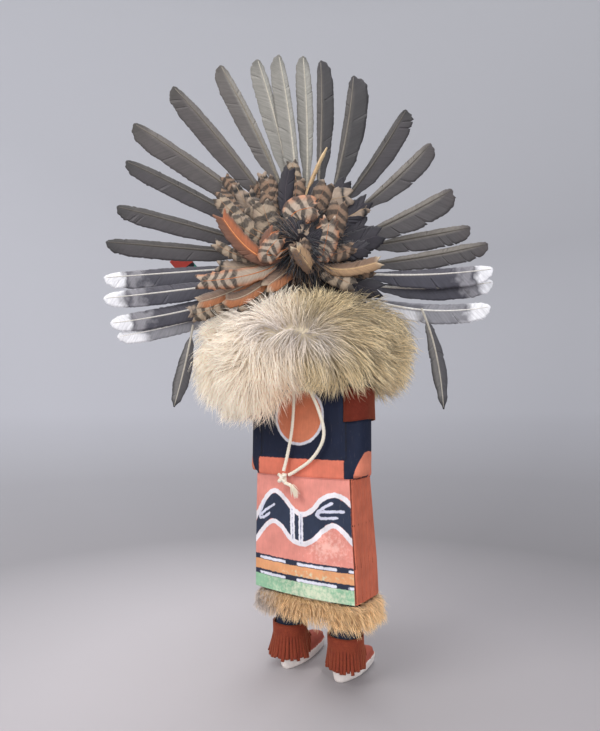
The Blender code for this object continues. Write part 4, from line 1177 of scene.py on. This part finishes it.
FAN_KINDS = (
    white_web, white_tail, white_tail, white_tail, slate_primary, slate_primary, slate_primary,
    grey_primary, grey_primary, barred_primary, pale_primary, pale_primary, pale_primary,
    dusky_primary, dusky_primary, slate_primary, dark_primary, dark_primary, dark_primary,
    dark_primary, white_tail, white_tail, white_web,
)
for index, (root_degrees, tip_u, tip_z, bow, narrow, wide) in enumerate(FAN):
    layer = FAN_LAYERS[index % 3]
    root_angle = math.radians(root_degrees)
    root_arm = FAN_ROOT_RADIUS * Vector((math.cos(root_angle), math.sin(root_angle)))
    root = Vector((FAN_U, FAN_Z)) + root_arm
    tip = Vector((tip_u, tip_z))
    across_line = Vector((root.y - tip.y, tip.x - root.x)).normalized()
    bend = (root + tip) / 2.0 + across_line * (2.0 * bow)
    start = 0.0
    for step in range(100):
        p = bezier(root, bend, tip, step * FAN_START_STEP)
        if math.hypot(p.x, layer) <= HEAD_RADIUS + FAN_CLEARANCE and p.y <= CROWN_Z:
            start = (step + 1) * FAN_START_STEP
    begin = bezier(root, bend, tip, start)
    middle = bend * (1.0 - start) + tip * start
    curve = [head_point(p.x, layer, p.y) for p in (begin, middle, tip)]
    left_side, right_side = (wide, narrow) if index < FAN_LEFT_COUNT else (narrow, wide)
    bm = feather_mesh(
        curve, FEATHER_OUT, left_side, right_side, FAN_TABLE, 0.95, 5, 0.9, 100 + index, slant=0.55,
    )
    name = "fan_feather_%02d" % (index + 1)
    make_feather("grey_" + name, bm, FAN_KINDS[index], (name,))

# Two small grey feathers that hang under the fan's ends
HANGING = (
    ("hanging_feather_left", 22.0, ((82.0, 226.0), (86.0, 200.0), (93.5, 172.5)), 5.2),
    ("hanging_feather_right", 26.5, ((-66.5, 236.0), (-77.5, 211.5), (-79.5, 171.0)), 4.8),
)
HANGING_TABLE = (
    (0.0, 0.0), (0.1, 0.0), (0.28, 0.62), (0.5, 0.95), (0.72, 1.0), (0.9, 0.66), (1.0, 0.1),
)
hanging_vane = feather_vane(
    "dark_edged_grey_feather", "6d6a68", "2b2a2e", "2a292d", 0.9, 0.08, lead="4a484c", shaft="b9b2a6",
)
for index, (name, n, control, half) in enumerate(HANGING):
    curve = [head_point(u, n, z) for u, z in control]
    bm = feather_mesh(curve, FEATHER_OUT, half, half * 0.98, HANGING_TABLE, 0.7, 4, 0.8, 60 + index)
    make_feather("grey_" + name, bm, hanging_vane, (name,))

# Crest: short body feathers glued round a knot of down behind the mask
# Each row: root and blade distance behind the head, bend and tip (u, z), half width, kind
CREST_U = 10.0
CREST_Z = 273.0
CREST_RADIUS = 19.0
CREST_BASE_N = 27.6
CREST_DEPTH = 28.0
rufous = feather_vane(
    "rufous_feather", "a8603a", "6f5244", "a3694a", 0.9, 0.1, lead="6d4c3c", shaft="f0a060",
)
curled_brown = feather_vane(
    "curled_brown_feather", "8f7563", "6f5f56", "b9a48c", 0.85, 0.1, lead="c07a4e", shaft="c9b8a0",
)
barred_cream = feather_vane(
    "barred_cream_feather", "a8957f", "8a7766", "a89683", 0.95, 0.04,
    bars=("231e1c", 6.2, 0.5, -1.5, 40.0), shaft="9c7350",
)
barred_orange = feather_vane(
    "barred_orange_edged_feather", "b3a08d", "b9744a", "b5a28f", 0.95, 0.04,
    bars=("2b2421", 5.2, 0.5, -2.5, 26.0), shaft="c4743c",
)
spotted = feather_vane(
    "black_spotted_cream_feather", "a69280", "8a7969", "a8967f", 0.97, 0.03,
    patch=("221e1d", 0.8, 0.92), shaft="b89a78",
)
striped_brown = feather_vane(
    "striped_brown_feather", "8f745e", "6c5848", "97816c", 0.94, 0.05,
    bars=("29221f", 4.6, 0.52, -2.0, 30.0), shaft="8c6248",
)
dark_purple = feather_vane(
    "purplish_black_feather", "2c2830", "221f26", "1d1b21", 0.9, 0.1, shaft="4a4248",
)
tan_feather = feather_vane(
    "tan_feather", "b08e6b", "8f745b", "d6c3a6", 0.88, 0.08, lead="6d5546", shaft="d3b283",
)
straw = feather_vane("straw_quill", "c2a27c", "a5855f", "d9bd92", 0.7, 0.2, shaft="d4b384")
CREST_TABLE = (
    (0.0, 0.0), (0.08, 0.0), (0.2, 0.45), (0.36, 0.88), (0.58, 1.06), (0.80, 1.04), (0.92, 0.84),
    (0.98, 0.5), (1.0, 0.1),
)
CREST = (
    (50.0, 53.7, (38.0, 250.0), (64.0, 295.0), 5.2, rufous),
    (50.0, 55.3, (41.0, 261.0), (26.0, 281.0), 4.2, rufous),
    (53.0, 57.3, (44.0, 254.0), (21.5, 276.0), 5.6, barred_orange),
    (42.0, 42.0, (43.0, 256.0), (67.0, 261.0), 4.4, spotted),
    (47.0, 48.0, (44.0, 256.0), (68.5, 276.0), 3.2, barred_cream),
    (45.0, 50.4, (38.0, 249.0), (80.0, 248.0), 5.2, barred_orange),
    (36.0, 36.0, (50.0, 238.0), (88.0, 231.0), 4.2, spotted),
    (39.0, 39.0, (54.0, 241.0), (80.5, 237.0), 4.4, curled_brown),
    (33.0, 33.0, (47.0, 296.0), (55.0, 320.0), 3.2, spotted),
    (40.5, 40.5, (38.0, 285.0), (46.0, 313.0), 3.9, spotted),
    (46.5, 46.5, (46.0, 280.0), (66.0, 306.0), 4.7, barred_cream),
    (30.0, 30.0, (28.0, 303.0), (44.0, 320.0), 4.6, striped_brown),
    (43.5, 43.5, (22.0, 291.0), (47.0, 299.0), 7.2, barred_cream),
    (48.0, 48.0, (25.0, 297.0), (17.5, 324.0), 4.4, dark_purple),
    (31.5, 31.5, (12.0, 312.0), (18.5, 336.0), 4.3, barred_cream),
    (34.5, 34.5, (10.5, 310.0), (-5.5, 340.5), 1.3, straw),
    (51.5, 54.9, (23.0, 292.0), (-0.5, 293.0), 8.8, barred_orange),
    (45.0, 45.0, (8.0, 304.0), (-12.5, 289.0), 5.6, striped_brown),
    (37.5, 37.5, (4.0, 305.0), (-23.5, 307.0), 6.9, spotted),
    (51.0, 53.7, (-4.0, 256.0), (-4.5, 285.0), 4.8, barred_orange),
    (44.0, 58.6, (3.0, 250.5), (16.5, 270.0), 4.6, tan_feather),
    (47.0, 48.0, (-9.0, 250.0), (-41.5, 263.0), 4.2, tan_feather),
)


def crest_radius(n):
    """Radius of the domed core at a distance behind the head."""
    f = (n - CREST_BASE_N) / CREST_DEPTH
    return CREST_RADIUS * math.sqrt(max(0.0, 1.0 - f * f))


def crest_feather(row, out_of_core, shaft_radius, cup, seed):
    """One of the crest's feathers from its row, its root set in or on the domed core."""
    root_n, n, bend, tip, half, kind = row
    away = math.atan2(bend[1] - CREST_Z, bend[0] - CREST_U)
    root = crest_radius(root_n) + out_of_core
    curve = (
        head_point(CREST_U + root * math.cos(away), root_n, CREST_Z + root * math.sin(away)),
        head_point(bend[0], n, bend[1]), head_point(tip[0], n, tip[1]),
    )
    return feather_mesh(
        curve, FEATHER_OUT, half * 1.02, half, CREST_TABLE, shaft_radius, 3, cup, seed, slant=0.7,
        ragged=0.25, blunt=1.0 if kind is straw else 0.9,
    )


for index, row in enumerate(CREST):
    name = "crest_feather_%02d" % (index + 1)
    bm = crest_feather(row, 0.5, 0.34, 1.4, 300 + index)
    make_feather("body_" + name, bm, row[-1], (name,))


# The crest's smaller feathers, tucked between and behind the long ones
TUCKED = (
    (48.0, 55.0, (12.0, 262.0), (1.0, 282.0), 7.4, dark_purple),
    (46.0, 55.0, (20.0, 268.0), (13.0, 287.0), 7.0, dark_purple),
    (48.0, 57.0, (8.0, 257.0), (14.0, 272.0), 7.0, striped_brown),
    (48.0, 55.0, (-3.0, 257.0), (-6.0, 289.0), 6.8, barred_orange),
    (44.0, 51.0, (-8.0, 274.0), (-13.0, 300.0), 6.4, striped_brown),
    (42.0, 49.0, (30.0, 276.0), (36.0, 301.0), 7.4, barred_cream),
    (42.0, 51.0, (33.0, 262.0), (52.0, 273.0), 6.4, striped_brown),
    (40.0, 48.0, (34.0, 272.0), (57.0, 289.0), 6.8, barred_cream),
    (42.0, 49.0, (5.0, 290.0), (-6.0, 313.0), 6.2, striped_brown),
    (40.0, 47.0, (17.0, 294.0), (13.0, 316.0), 6.0, striped_brown),
    (40.0, 46.0, (26.0, 292.0), (34.0, 318.0), 6.0, striped_brown),
    (36.0, 47.0, (16.9, 258.6), (35.3, 243.7), 5.6, curled_brown),
    (48.0, 55.0, (-1.3, 271.8), (13.8, 281.1), 4.6, spotted),
    (40.0, 44.0, (49.0, 232.5), (60.2, 240.0), 4.2, curled_brown),
    (36.0, 36.0, (-14.0, 292.0), (-34.1, 301.3), 4.2, spotted),
    (38.0, 38.0, (54.7, 235.5), (84.0, 228.0), 4.6, barred_cream),
    (48.0, 52.0, (1.0, 276.0), (10.0, 257.0), 5.5, dark_purple),
    (38.0, 40.0, (-13.1, 270.7), (-42.0, 282.3), 7.6, dark_purple),
    (40.0, 42.0, (-6.7, 258.5), (-37.0, 258.5), 6.2, striped_brown),
    (44.0, 46.0, (-1.5, 255.1), (-24.0, 245.6), 5.2, barred_cream),
    (46.0, 50.0, (-6.3, 262.3), (-22.8, 270.9), 4.6, striped_brown),
    (34.0, 34.0, (32.7, 304.1), (37.6, 327.1), 3.6, spotted),
    (31.0, 31.0, (48.4, 303.3), (64.0, 326.5), 3.8, striped_brown),
    (35.0, 35.0, (-9.7, 278.7), (-33.7, 290.6), 7.6, dark_purple),
    (36.0, 36.0, (6.9, 299.4), (-2.5, 318.3), 5.2, dark_purple),
    (38.0, 38.0, (48.2, 287.5), (66.4, 314.1), 4.4, striped_brown),
    (33.0, 33.0, (-7.0, 252.0), (-44.0, 246.0), 6.4, dark_purple),
    (36.0, 36.0, (-8.0, 284.0), (-34.0, 307.0), 6.6, dark_purple),
    (34.0, 34.0, (-2.0, 294.0), (-20.0, 322.0), 5.6, dark_purple),
    (42.0, 44.0, (-8.0, 268.0), (-33.0, 271.0), 6.2, dark_purple),
    (44.0, 47.0, (30.0, 285.0), (33.0, 308.0), 5.4, striped_brown),
    (38.0, 41.0, (30.0, 246.0), (55.0, 233.0), 5.4, barred_cream),
    (35.0, 36.0, (20.0, 246.0), (30.0, 226.0), 6.2, dark_purple),
    (35.0, 37.0, (4.0, 246.0), (-6.0, 226.0), 6.2, dark_purple),
    (33.0, 34.0, (-8.0, 246.0), (-30.0, 232.0), 6.4, dark_purple),
)
for index, row in enumerate(TUCKED):
    bm = crest_feather(row, -2.0, 0.32, 1.6, 500 + index)
    make_feather("tucked_feather_%02d" % (index + 1), bm, row[-1])


# Fur
# Hair is laid strand by strand over a soft under-fur. Strands leave the skin leaning with the
# lie of the pelt, draw together in locks towards their tips, and each keeps its own colour.
STRAND_POINTS = 4
STRAND_TAPER = np.array([1.0, 1.0, 0.68, 0.06])
STRAND_SIDES = 3
ROOT_DEPTH = 1.5
LOCK_BLOCK = 2000
strand_section = section_curve("strand_profile", [1.0] * STRAND_SIDES)


def skin_samples(bm, count, seed):
    """Evenly drawn points on a bmesh's faces, with their normals."""
    bmesh.ops.triangulate(bm, faces=bm.faces)
    bm.normal_update()
    corners = np.array([[v.co for v in f.verts] for f in bm.faces])
    normals = np.array([f.normal for f in bm.faces])
    areas = np.array([f.calc_area() for f in bm.faces])
    drawn = np.random.default_rng(seed)
    picked = drawn.choice(len(areas), count, p=areas / areas.sum())
    a = drawn.random(count)
    b = drawn.random(count)
    over = a + b > 1.0
    a[over] = 1.0 - a[over]
    b[over] = 1.0 - b[over]
    c = corners[picked]
    points = c[:, 0] + a[:, None] * (c[:, 1] - c[:, 0]) + b[:, None] * (c[:, 2] - c[:, 0])
    return points, normals[picked]


def unit(vectors):
    """Rows of vectors at length one."""
    return vectors / np.maximum(1e-6, np.linalg.norm(vectors, axis=1))[:, None]


def grow_strands(points, normals, flow, lengths, lift, hug, droop, clump, locks, wild, seed):
    """Strand points: from under the skin, up by lift, along the flow, bent back by hug."""
    drawn = np.random.default_rng(seed)
    count = len(points)
    flow = unit(flow + drawn.normal(0.0, wild, (count, 3)))
    picked = drawn.choice(count, locks, replace=False)
    nearest = np.zeros(count, int)
    for begin in range(0, count, LOCK_BLOCK):
        block = points[begin:begin + LOCK_BLOCK]
        gaps = ((block[:, None, :] - points[picked][None, :, :]) ** 2).sum(axis=2)
        nearest[begin:begin + LOCK_BLOCK] = picked[np.argmin(gaps, axis=1)]
    strands = np.zeros((count, STRAND_POINTS, 3))
    bend = drawn.normal(0.0, 0.1, (count, 3))
    for k in range(STRAND_POINTS):
        t = k / (STRAND_POINTS - 1)
        reach = (lengths * t)[:, None]
        raised = lift[:, None] * math.sin(min(1.0, t * 1.5) * math.pi / 2.0)
        strands[:, k] = (
            points + normals * (raised - ROOT_DEPTH) + flow * reach - normals * reach * reach / (2.0 * hug)
            + np.array((0.0, 0.0, -droop)) * t * t + bend * reach * t
        )
    own = strands.copy()
    for k in range(STRAND_POINTS):
        t = k / (STRAND_POINTS - 1)
        share = clump * t ** 1.3
        lock = own[nearest, k] + 0.25 * (points - points[nearest])
        strands[:, k] = own[:, k] * (1.0 - share) + lock * share
    return strands, nearest


def fur_piece(name, strands, radii, colours, material):
    """Strands as threads with their colours kept on their points."""
    data = bpy.data.curves.new(name, "CURVE")
    data.dimensions = "3D"
    data.bevel_mode = "OBJECT"
    data.bevel_object = strand_section
    placed = (strands + np.array(SHIFT)) * MM
    for line, radius in zip(placed, radii):
        spline = data.splines.new("POLY")
        spline.points.add(STRAND_POINTS - 1)
        spline.points.foreach_set("co", np.c_[line, np.ones(STRAND_POINTS)].ravel())
        spline.points.foreach_set("radius", STRAND_TAPER * radius)
    helper = bpy.data.objects.new(name + "_helper", data)
    bpy.context.scene.collection.objects.link(helper)
    bpy.context.view_layer.update()
    mesh = bpy.data.meshes.new_from_object(helper.evaluated_get(bpy.context.evaluated_depsgraph_get()))
    bpy.data.objects.remove(helper)
    mesh.name = name
    layer = mesh.attributes.new("hair_colour", "FLOAT_COLOR", "POINT")
    spread = np.repeat(colours.reshape(-1, 3), STRAND_SIDES, axis=0)
    layer.data.foreach_set("color", np.c_[spread, np.ones(len(spread))].astype(np.float32).ravel())
    mesh.materials.clear()
    mesh.materials.append(material)
    mesh.shade_smooth()
    piece = bpy.data.objects.new(name, mesh)
    bpy.context.scene.collection.objects.link(piece)
    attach(piece, "root")


def hair_material(name, rough, painted_glow):
    """Hair: each strand's own colour, a soft gloss along it, and a painted glow in its own colour that stands
    in for light shining through the fur.
    """
    material, place = new_material(name)
    colour = add(material, "Attribute", attribute_name="hair_colour")
    fleck = add(material, "TexNoise", {"Vector": place, "Scale": 0.5, "Detail": 3.0})
    light = add(material, "MapRange", {
        "Value": fleck.outputs["Fac"], "From Min": 0.3, "From Max": 0.7, "To Min": 0.88, "To Max": 1.1,
    })
    lit = add(material, "VectorMath", {0: colour.outputs["Color"], 3: light.outputs[0]}, operation="SCALE")
    shader = add(material, "BsdfPrincipled", {
        "Base Color": lit.outputs[0], "Roughness": rough, "Specular IOR Level": 0.35,
        "Sheen Weight": 0.35, "Sheen Roughness": 0.5, "Emission Color": lit.outputs[0],
        "Emission Strength": painted_glow,
    })
    return finish(material, shader)


def tones(codes):
    """Hex colours as rows of linear light."""
    return np.array([paint(code)[:3] for code in codes])


def blend_colours(root, middle, tip, count, brightness):
    """Root to tip colours for strands: rows of three colours each, and a brightness."""
    out = np.zeros((count, STRAND_POINTS, 3))
    for k in range(STRAND_POINTS):
        t = k / (STRAND_POINTS - 1)
        if t < 0.5:
            out[:, k] = root + (middle - root) * (t / 0.5)
        else:
            out[:, k] = middle + (tip - middle) * ((t - 0.5) / 0.5)
    return out * brightness[:, None, None]


def under_fur(name, node, voxel, sink, code_a, code_b):
    """The matted under-fur that closes the gaps between strands."""
    bm = whittled(solid_copy(node), voxel, 6)
    bm.normal_update()
    for vert in bm.verts:
        lump = noise.noise(vert.co * 0.16) * 1.2 + noise.noise(vert.co * 0.5) * 0.5
        vert.co -= vert.normal * (sink - lump)
    material, place = new_material(name + "_wool")
    wool = add(material, "TexNoise", {"Vector": place, "Scale": 0.9, "Detail": 5.0, "Roughness": 0.7})
    tone = add(material, "Mix", {
        0: wool.outputs["Fac"], 6: paint(code_a), 7: paint(code_b),
    }, data_type="RGBA")
    shader = add(material, "BsdfPrincipled", {
        "Base Color": tone.outputs[2], "Roughness": 0.95, "Specular IOR Level": 0.1, "Sheen Weight": 0.3,
    })
    finish(material, shader, wool.outputs["Fac"], 0.5)
    make_piece(name, bm, [material], (node,))


# Ruff: a strip of fox fur round the neck, tied at the back, cream on the left, tan on the right
LEFT_WHORL = (38.0, 220.0)
RIGHT_WHORL = (0.0, 212.0)
SWEEP_FROM_U = 18.0
FRONT_N = -10.0
SPLIT_U = 14.0
SPLIT_Z = 214.0
RUFF_STRANDS = 17000
FRONT_REACH = -57.0
FRONT_SQUASH = 0.8
under_fur("ruff_under_fur", "fur_ruff", 2.2, 2.2, "b7a78e", "e6d8bd")
ruff_bm = solid_copy("fur_ruff")
points, normals = skin_samples(ruff_bm, RUFF_STRANDS * 2, 21)
ruff_bm.free()
cos_turn = math.cos(HEAD_TURN)
sin_turn = math.sin(HEAD_TURN)
side_axis = np.array((cos_turn, -sin_turn, 0.0))
back_axis = np.array((sin_turn, cos_turn, 0.0))
centred = points - np.array((HEAD_X, 0.0, 0.0))
u = centred @ side_axis
n = centred @ back_axis
radial = unit(np.c_[centred[:, 0], centred[:, 1], np.zeros(len(points))])
outside = ((normals * radial).sum(axis=1) > -0.15) | ((normals[:, 2] > 0.4) & (np.hypot(u, n) > 31.0))
keep = np.flatnonzero(outside)[:RUFF_STRANDS]
points = points[keep]
normals = normals[keep]
u = u[keep]
n = n[keep]
radial = radial[keep]
z = points[:, 2]
drawn = np.random.default_rng(31)
count = len(points)
left_share = np.clip((u - RIGHT_WHORL[0]) / (LEFT_WHORL[0] - RIGHT_WHORL[0]), 0.0, 1.0)
whorl_u = RIGHT_WHORL[0] + (LEFT_WHORL[0] - RIGHT_WHORL[0]) * left_share
whorl_z = RIGHT_WHORL[1] + (LEFT_WHORL[1] - RIGHT_WHORL[1]) * left_share
outward = (u - SWEEP_FROM_U) * 0.12
line_wave = 3.5 * np.sin(u * 0.3) - 2.0
from_whorl = np.c_[u - whorl_u + outward, z - whorl_z + line_wave]
away = unit(np.c_[from_whorl, np.zeros(count)])[:, :2]
# The noise starts from the clock unless it is told otherwise, and the ruff is the same in each run
noise.seed_set(7)
swirl = np.array([
    noise.noise_vector(Vector(p) * 0.045) * 1.5 + noise.noise_vector(Vector(p) * 0.14) * 0.8 for p in points
])
sunburst = away[:, :1] * side_axis + away[:, 1:] * np.array((0.0, 0.0, 1.0))
falling = radial * 0.75 + np.array((0.0, 0.0, -0.65))
behind = np.clip((n + 5.0) / 30.0, 0.0, 1.0)[:, None]
lie = unit(sunburst * behind + falling * (1.0 - behind) + swirl * 0.85)
pressed = (lie * normals).sum(axis=1)
flow = unit(lie - 0.55 * pressed[:, None] * normals + 0.28 * normals)
near_line = np.exp(-(np.hypot(u - whorl_u, z - whorl_z) / 7.0) ** 2)
lengths = drawn.uniform(16.0, 30.0, count) * (1.0 - 0.45 * np.clip(pressed, 0.0, 1.0))
lengths *= 1.0 - 0.35 * near_line
lengths *= np.where(n < FRONT_N, 0.7, 1.0)
right_side = np.clip((22.0 - u) / 14.0 + drawn.normal(0.0, 0.22, count), 0.0, 1.0)
lengths *= 1.0 - 0.2 * right_side
guard = drawn.random(count) < 0.12
lengths[guard] *= 1.25
lift = drawn.uniform(1.0, 7.0, count)
strands, nearest = grow_strands(points, normals, flow, lengths, lift, 48.0, 3.5, 0.38, 2600, 0.26, 41)

# The hair over the chest is pressed back, so that it keeps inside the doll's depth
in_front = np.minimum(strands[:, :, 1] - FRONT_REACH, 0.0)
strands[:, :, 1] -= FRONT_SQUASH * in_front

# Colours of the pelt: tan to the right, grey at the parting and upper left, peach low in the middle
cream = (tones(("e6d5c2",)), tones(("fff3df",)), tones(("fff6e6",)))
tan = (tones(("8f8066",)), tones(("e6cfa2",)), tones(("fae7c1",)))
grey = (tones(("b4aaa6",)), tones(("e6dbd4",)), tones(("f4ebe2",)))
lock_tone = np.random.default_rng(51).normal(0.0, 1.0, count)[nearest]
share = right_side[:, None]
root = cream[0] * (1.0 - share) + tan[0] * share
middle = cream[1] * (1.0 - share) + tan[1] * share
tip = cream[2] * (1.0 - share) + tan[2] * share
mauve = np.exp(-(((u - 46.0) / 15.0) ** 2 + ((z - 238.0) / 12.0) ** 2))[:, None] * behind
mauve = np.maximum(mauve, 0.8 * (near_line * behind[:, 0])[:, None])
root = root * (1.0 - mauve) + grey[0] * mauve
middle = middle * (1.0 - mauve) + grey[1] * mauve
tip = tip * (1.0 - mauve) + grey[2] * mauve
peach = (np.exp(-(((u - 24.0) / 12.0) ** 2 + ((z - 186.0) / 14.0) ** 2)) * 0.7)[:, None]
middle = middle * (1.0 - peach) + tones(("f0c39a",)) * peach
tip = tip * (1.0 - peach * 0.7) + tones(("f2c9a2",)) * peach * 0.7
top_right = np.clip((-4.0 - u) / 14.0, 0.0, 1.0) * np.clip((z - 212.0) / 14.0, 0.0, 1.0)
dark_tip = (drawn.random(count) < 0.2 * right_side + 0.35 * top_right + 0.02)[:, None]
tip = np.where(dark_tip, tones(("544b3a",)), tip)
middle = np.where(dark_tip, middle * 0.55, middle)
brightness = np.clip(1.0 + 0.09 * lock_tone + drawn.normal(0.0, 0.1, count), 0.6, 1.3)
colours = blend_colours(root, middle, tip, count, brightness)
radii = drawn.uniform(0.11, 0.23, count)
# The fox fur carries a painted glow of strength 0.13 in its own colour.
fox_hair = hair_material("fox_fur_hair", 0.55, 0.13)
RUFF_PARTS = (
    ("ruff_hair_left_top", (u > SPLIT_U) & (n > FRONT_N) & (z > SPLIT_Z)),
    ("ruff_hair_left_low", (u > SPLIT_U) & (n > FRONT_N) & (z <= SPLIT_Z)),
    ("ruff_hair_right_top", (u <= SPLIT_U) & (n > FRONT_N) & (z > SPLIT_Z)),
    ("ruff_hair_right_low", (u <= SPLIT_U) & (n > FRONT_N) & (z <= SPLIT_Z)),
    ("ruff_hair_front", n <= FRONT_N),
)
for name, chosen in RUFF_PARTS:
    fur_piece(name, strands[chosen], radii[chosen], colours[chosen], fox_hair)

# Hem: a narrow strip of the same fur glued under the kilt
HEM_STRANDS = 5600
under_fur("hem_under_fur", "hem_fur", 1.6, 1.5, "a07c55", "d8b283")
hem_bm = solid_copy("hem_fur")
points, normals = skin_samples(hem_bm, HEM_STRANDS, 22)
hem_bm.free()
count = len(points)
out = unit(np.c_[points[:, 0] - 0.5, points[:, 1] - 2.0, np.zeros(count)])
sweep_right = np.array((-0.55, 0.12, 0.0))
lie = out * 0.6 + sweep_right * np.clip((points[:, 1] + 5.0) / 20.0, 0.2, 1.0)[:, None]
lie += np.array((0.0, 0.0, -0.95))
lie[points[:, 2] > 51.0, 2] += 0.6
drawn = np.random.default_rng(32)
to_right = np.clip((14.0 - points[:, 0]) / 26.0, 0.0, 1.0)
lengths = drawn.uniform(3.0, 6.5, count) + 4.0 * to_right * drawn.random(count)
strands, nearest = grow_strands(
    points, normals, unit(lie) + 0.15 * normals, lengths, drawn.uniform(0.5, 2.0, count), 30.0, 0.8, 0.5,
    1100, 0.32, 42,
)
left_grey = np.clip((points[:, 0] - 14.0) / 16.0, 0.0, 1.0)[:, None] * (points[:, 1] > 10.0)[:, None]
root = tones(("a88159",)) * (1 - left_grey) + tones(("8b7f78",)) * left_grey
middle = tones(("e8bd86",)) * (1 - left_grey) + tones(("c4b3a6",)) * left_grey
tip = tones(("f6d9ab",)) * (1 - left_grey) + tones(("ddcfc2",)) * left_grey
brightness = np.clip(1.0 + 0.12 * np.random.default_rng(52).normal(0, 1, count)[nearest], 0.6, 1.35)
fur_piece(
    "hem_hair", strands, drawn.uniform(0.09, 0.17, count),
    blend_colours(root, middle, tip, count, brightness), fox_hair,
)

# Crest down: the dark fluff that the crest's feathers spring from
DOWN_STRANDS = 2800
under_fur("crest_down_core", "crest_down", 1.8, 0.8, "14131a", "2c2423")
down_bm = solid_copy("crest_down")
points, normals = skin_samples(down_bm, DOWN_STRANDS, 23)
down_bm.free()
count = len(points)
centred = points - np.array(head_point(CREST_U, 30.0, CREST_Z))
spread = centred - (centred @ back_axis)[:, None] * back_axis
drawn = np.random.default_rng(33)
flow = unit(unit(spread) + normals * 0.25)
lengths = drawn.uniform(8.0, 20.0, count)
strands, _ = grow_strands(
    points, normals, flow, lengths, drawn.uniform(0.5, 2.5, count), 60.0, 1.0, 0.4, 300, 0.35, 43,
)
brown = (drawn.random(count) < 0.25)[:, None]
root = np.where(brown, tones(("2b1f1a",)), tones(("0d0f17",)))
middle = np.where(brown, tones(("6b4a35",)), tones(("181a22",)))
tip = np.where(brown, tones(("a88663",)), tones(("2a2b33",)))
brightness = np.clip(drawn.normal(1.0, 0.15, count), 0.6, 1.4)
fur_piece(
    "crest_down_hair", strands, drawn.uniform(0.16, 0.28, count),
    blend_colours(root, middle, tip, count, brightness), hair_material("dark_down", 0.6, 0.0),
)
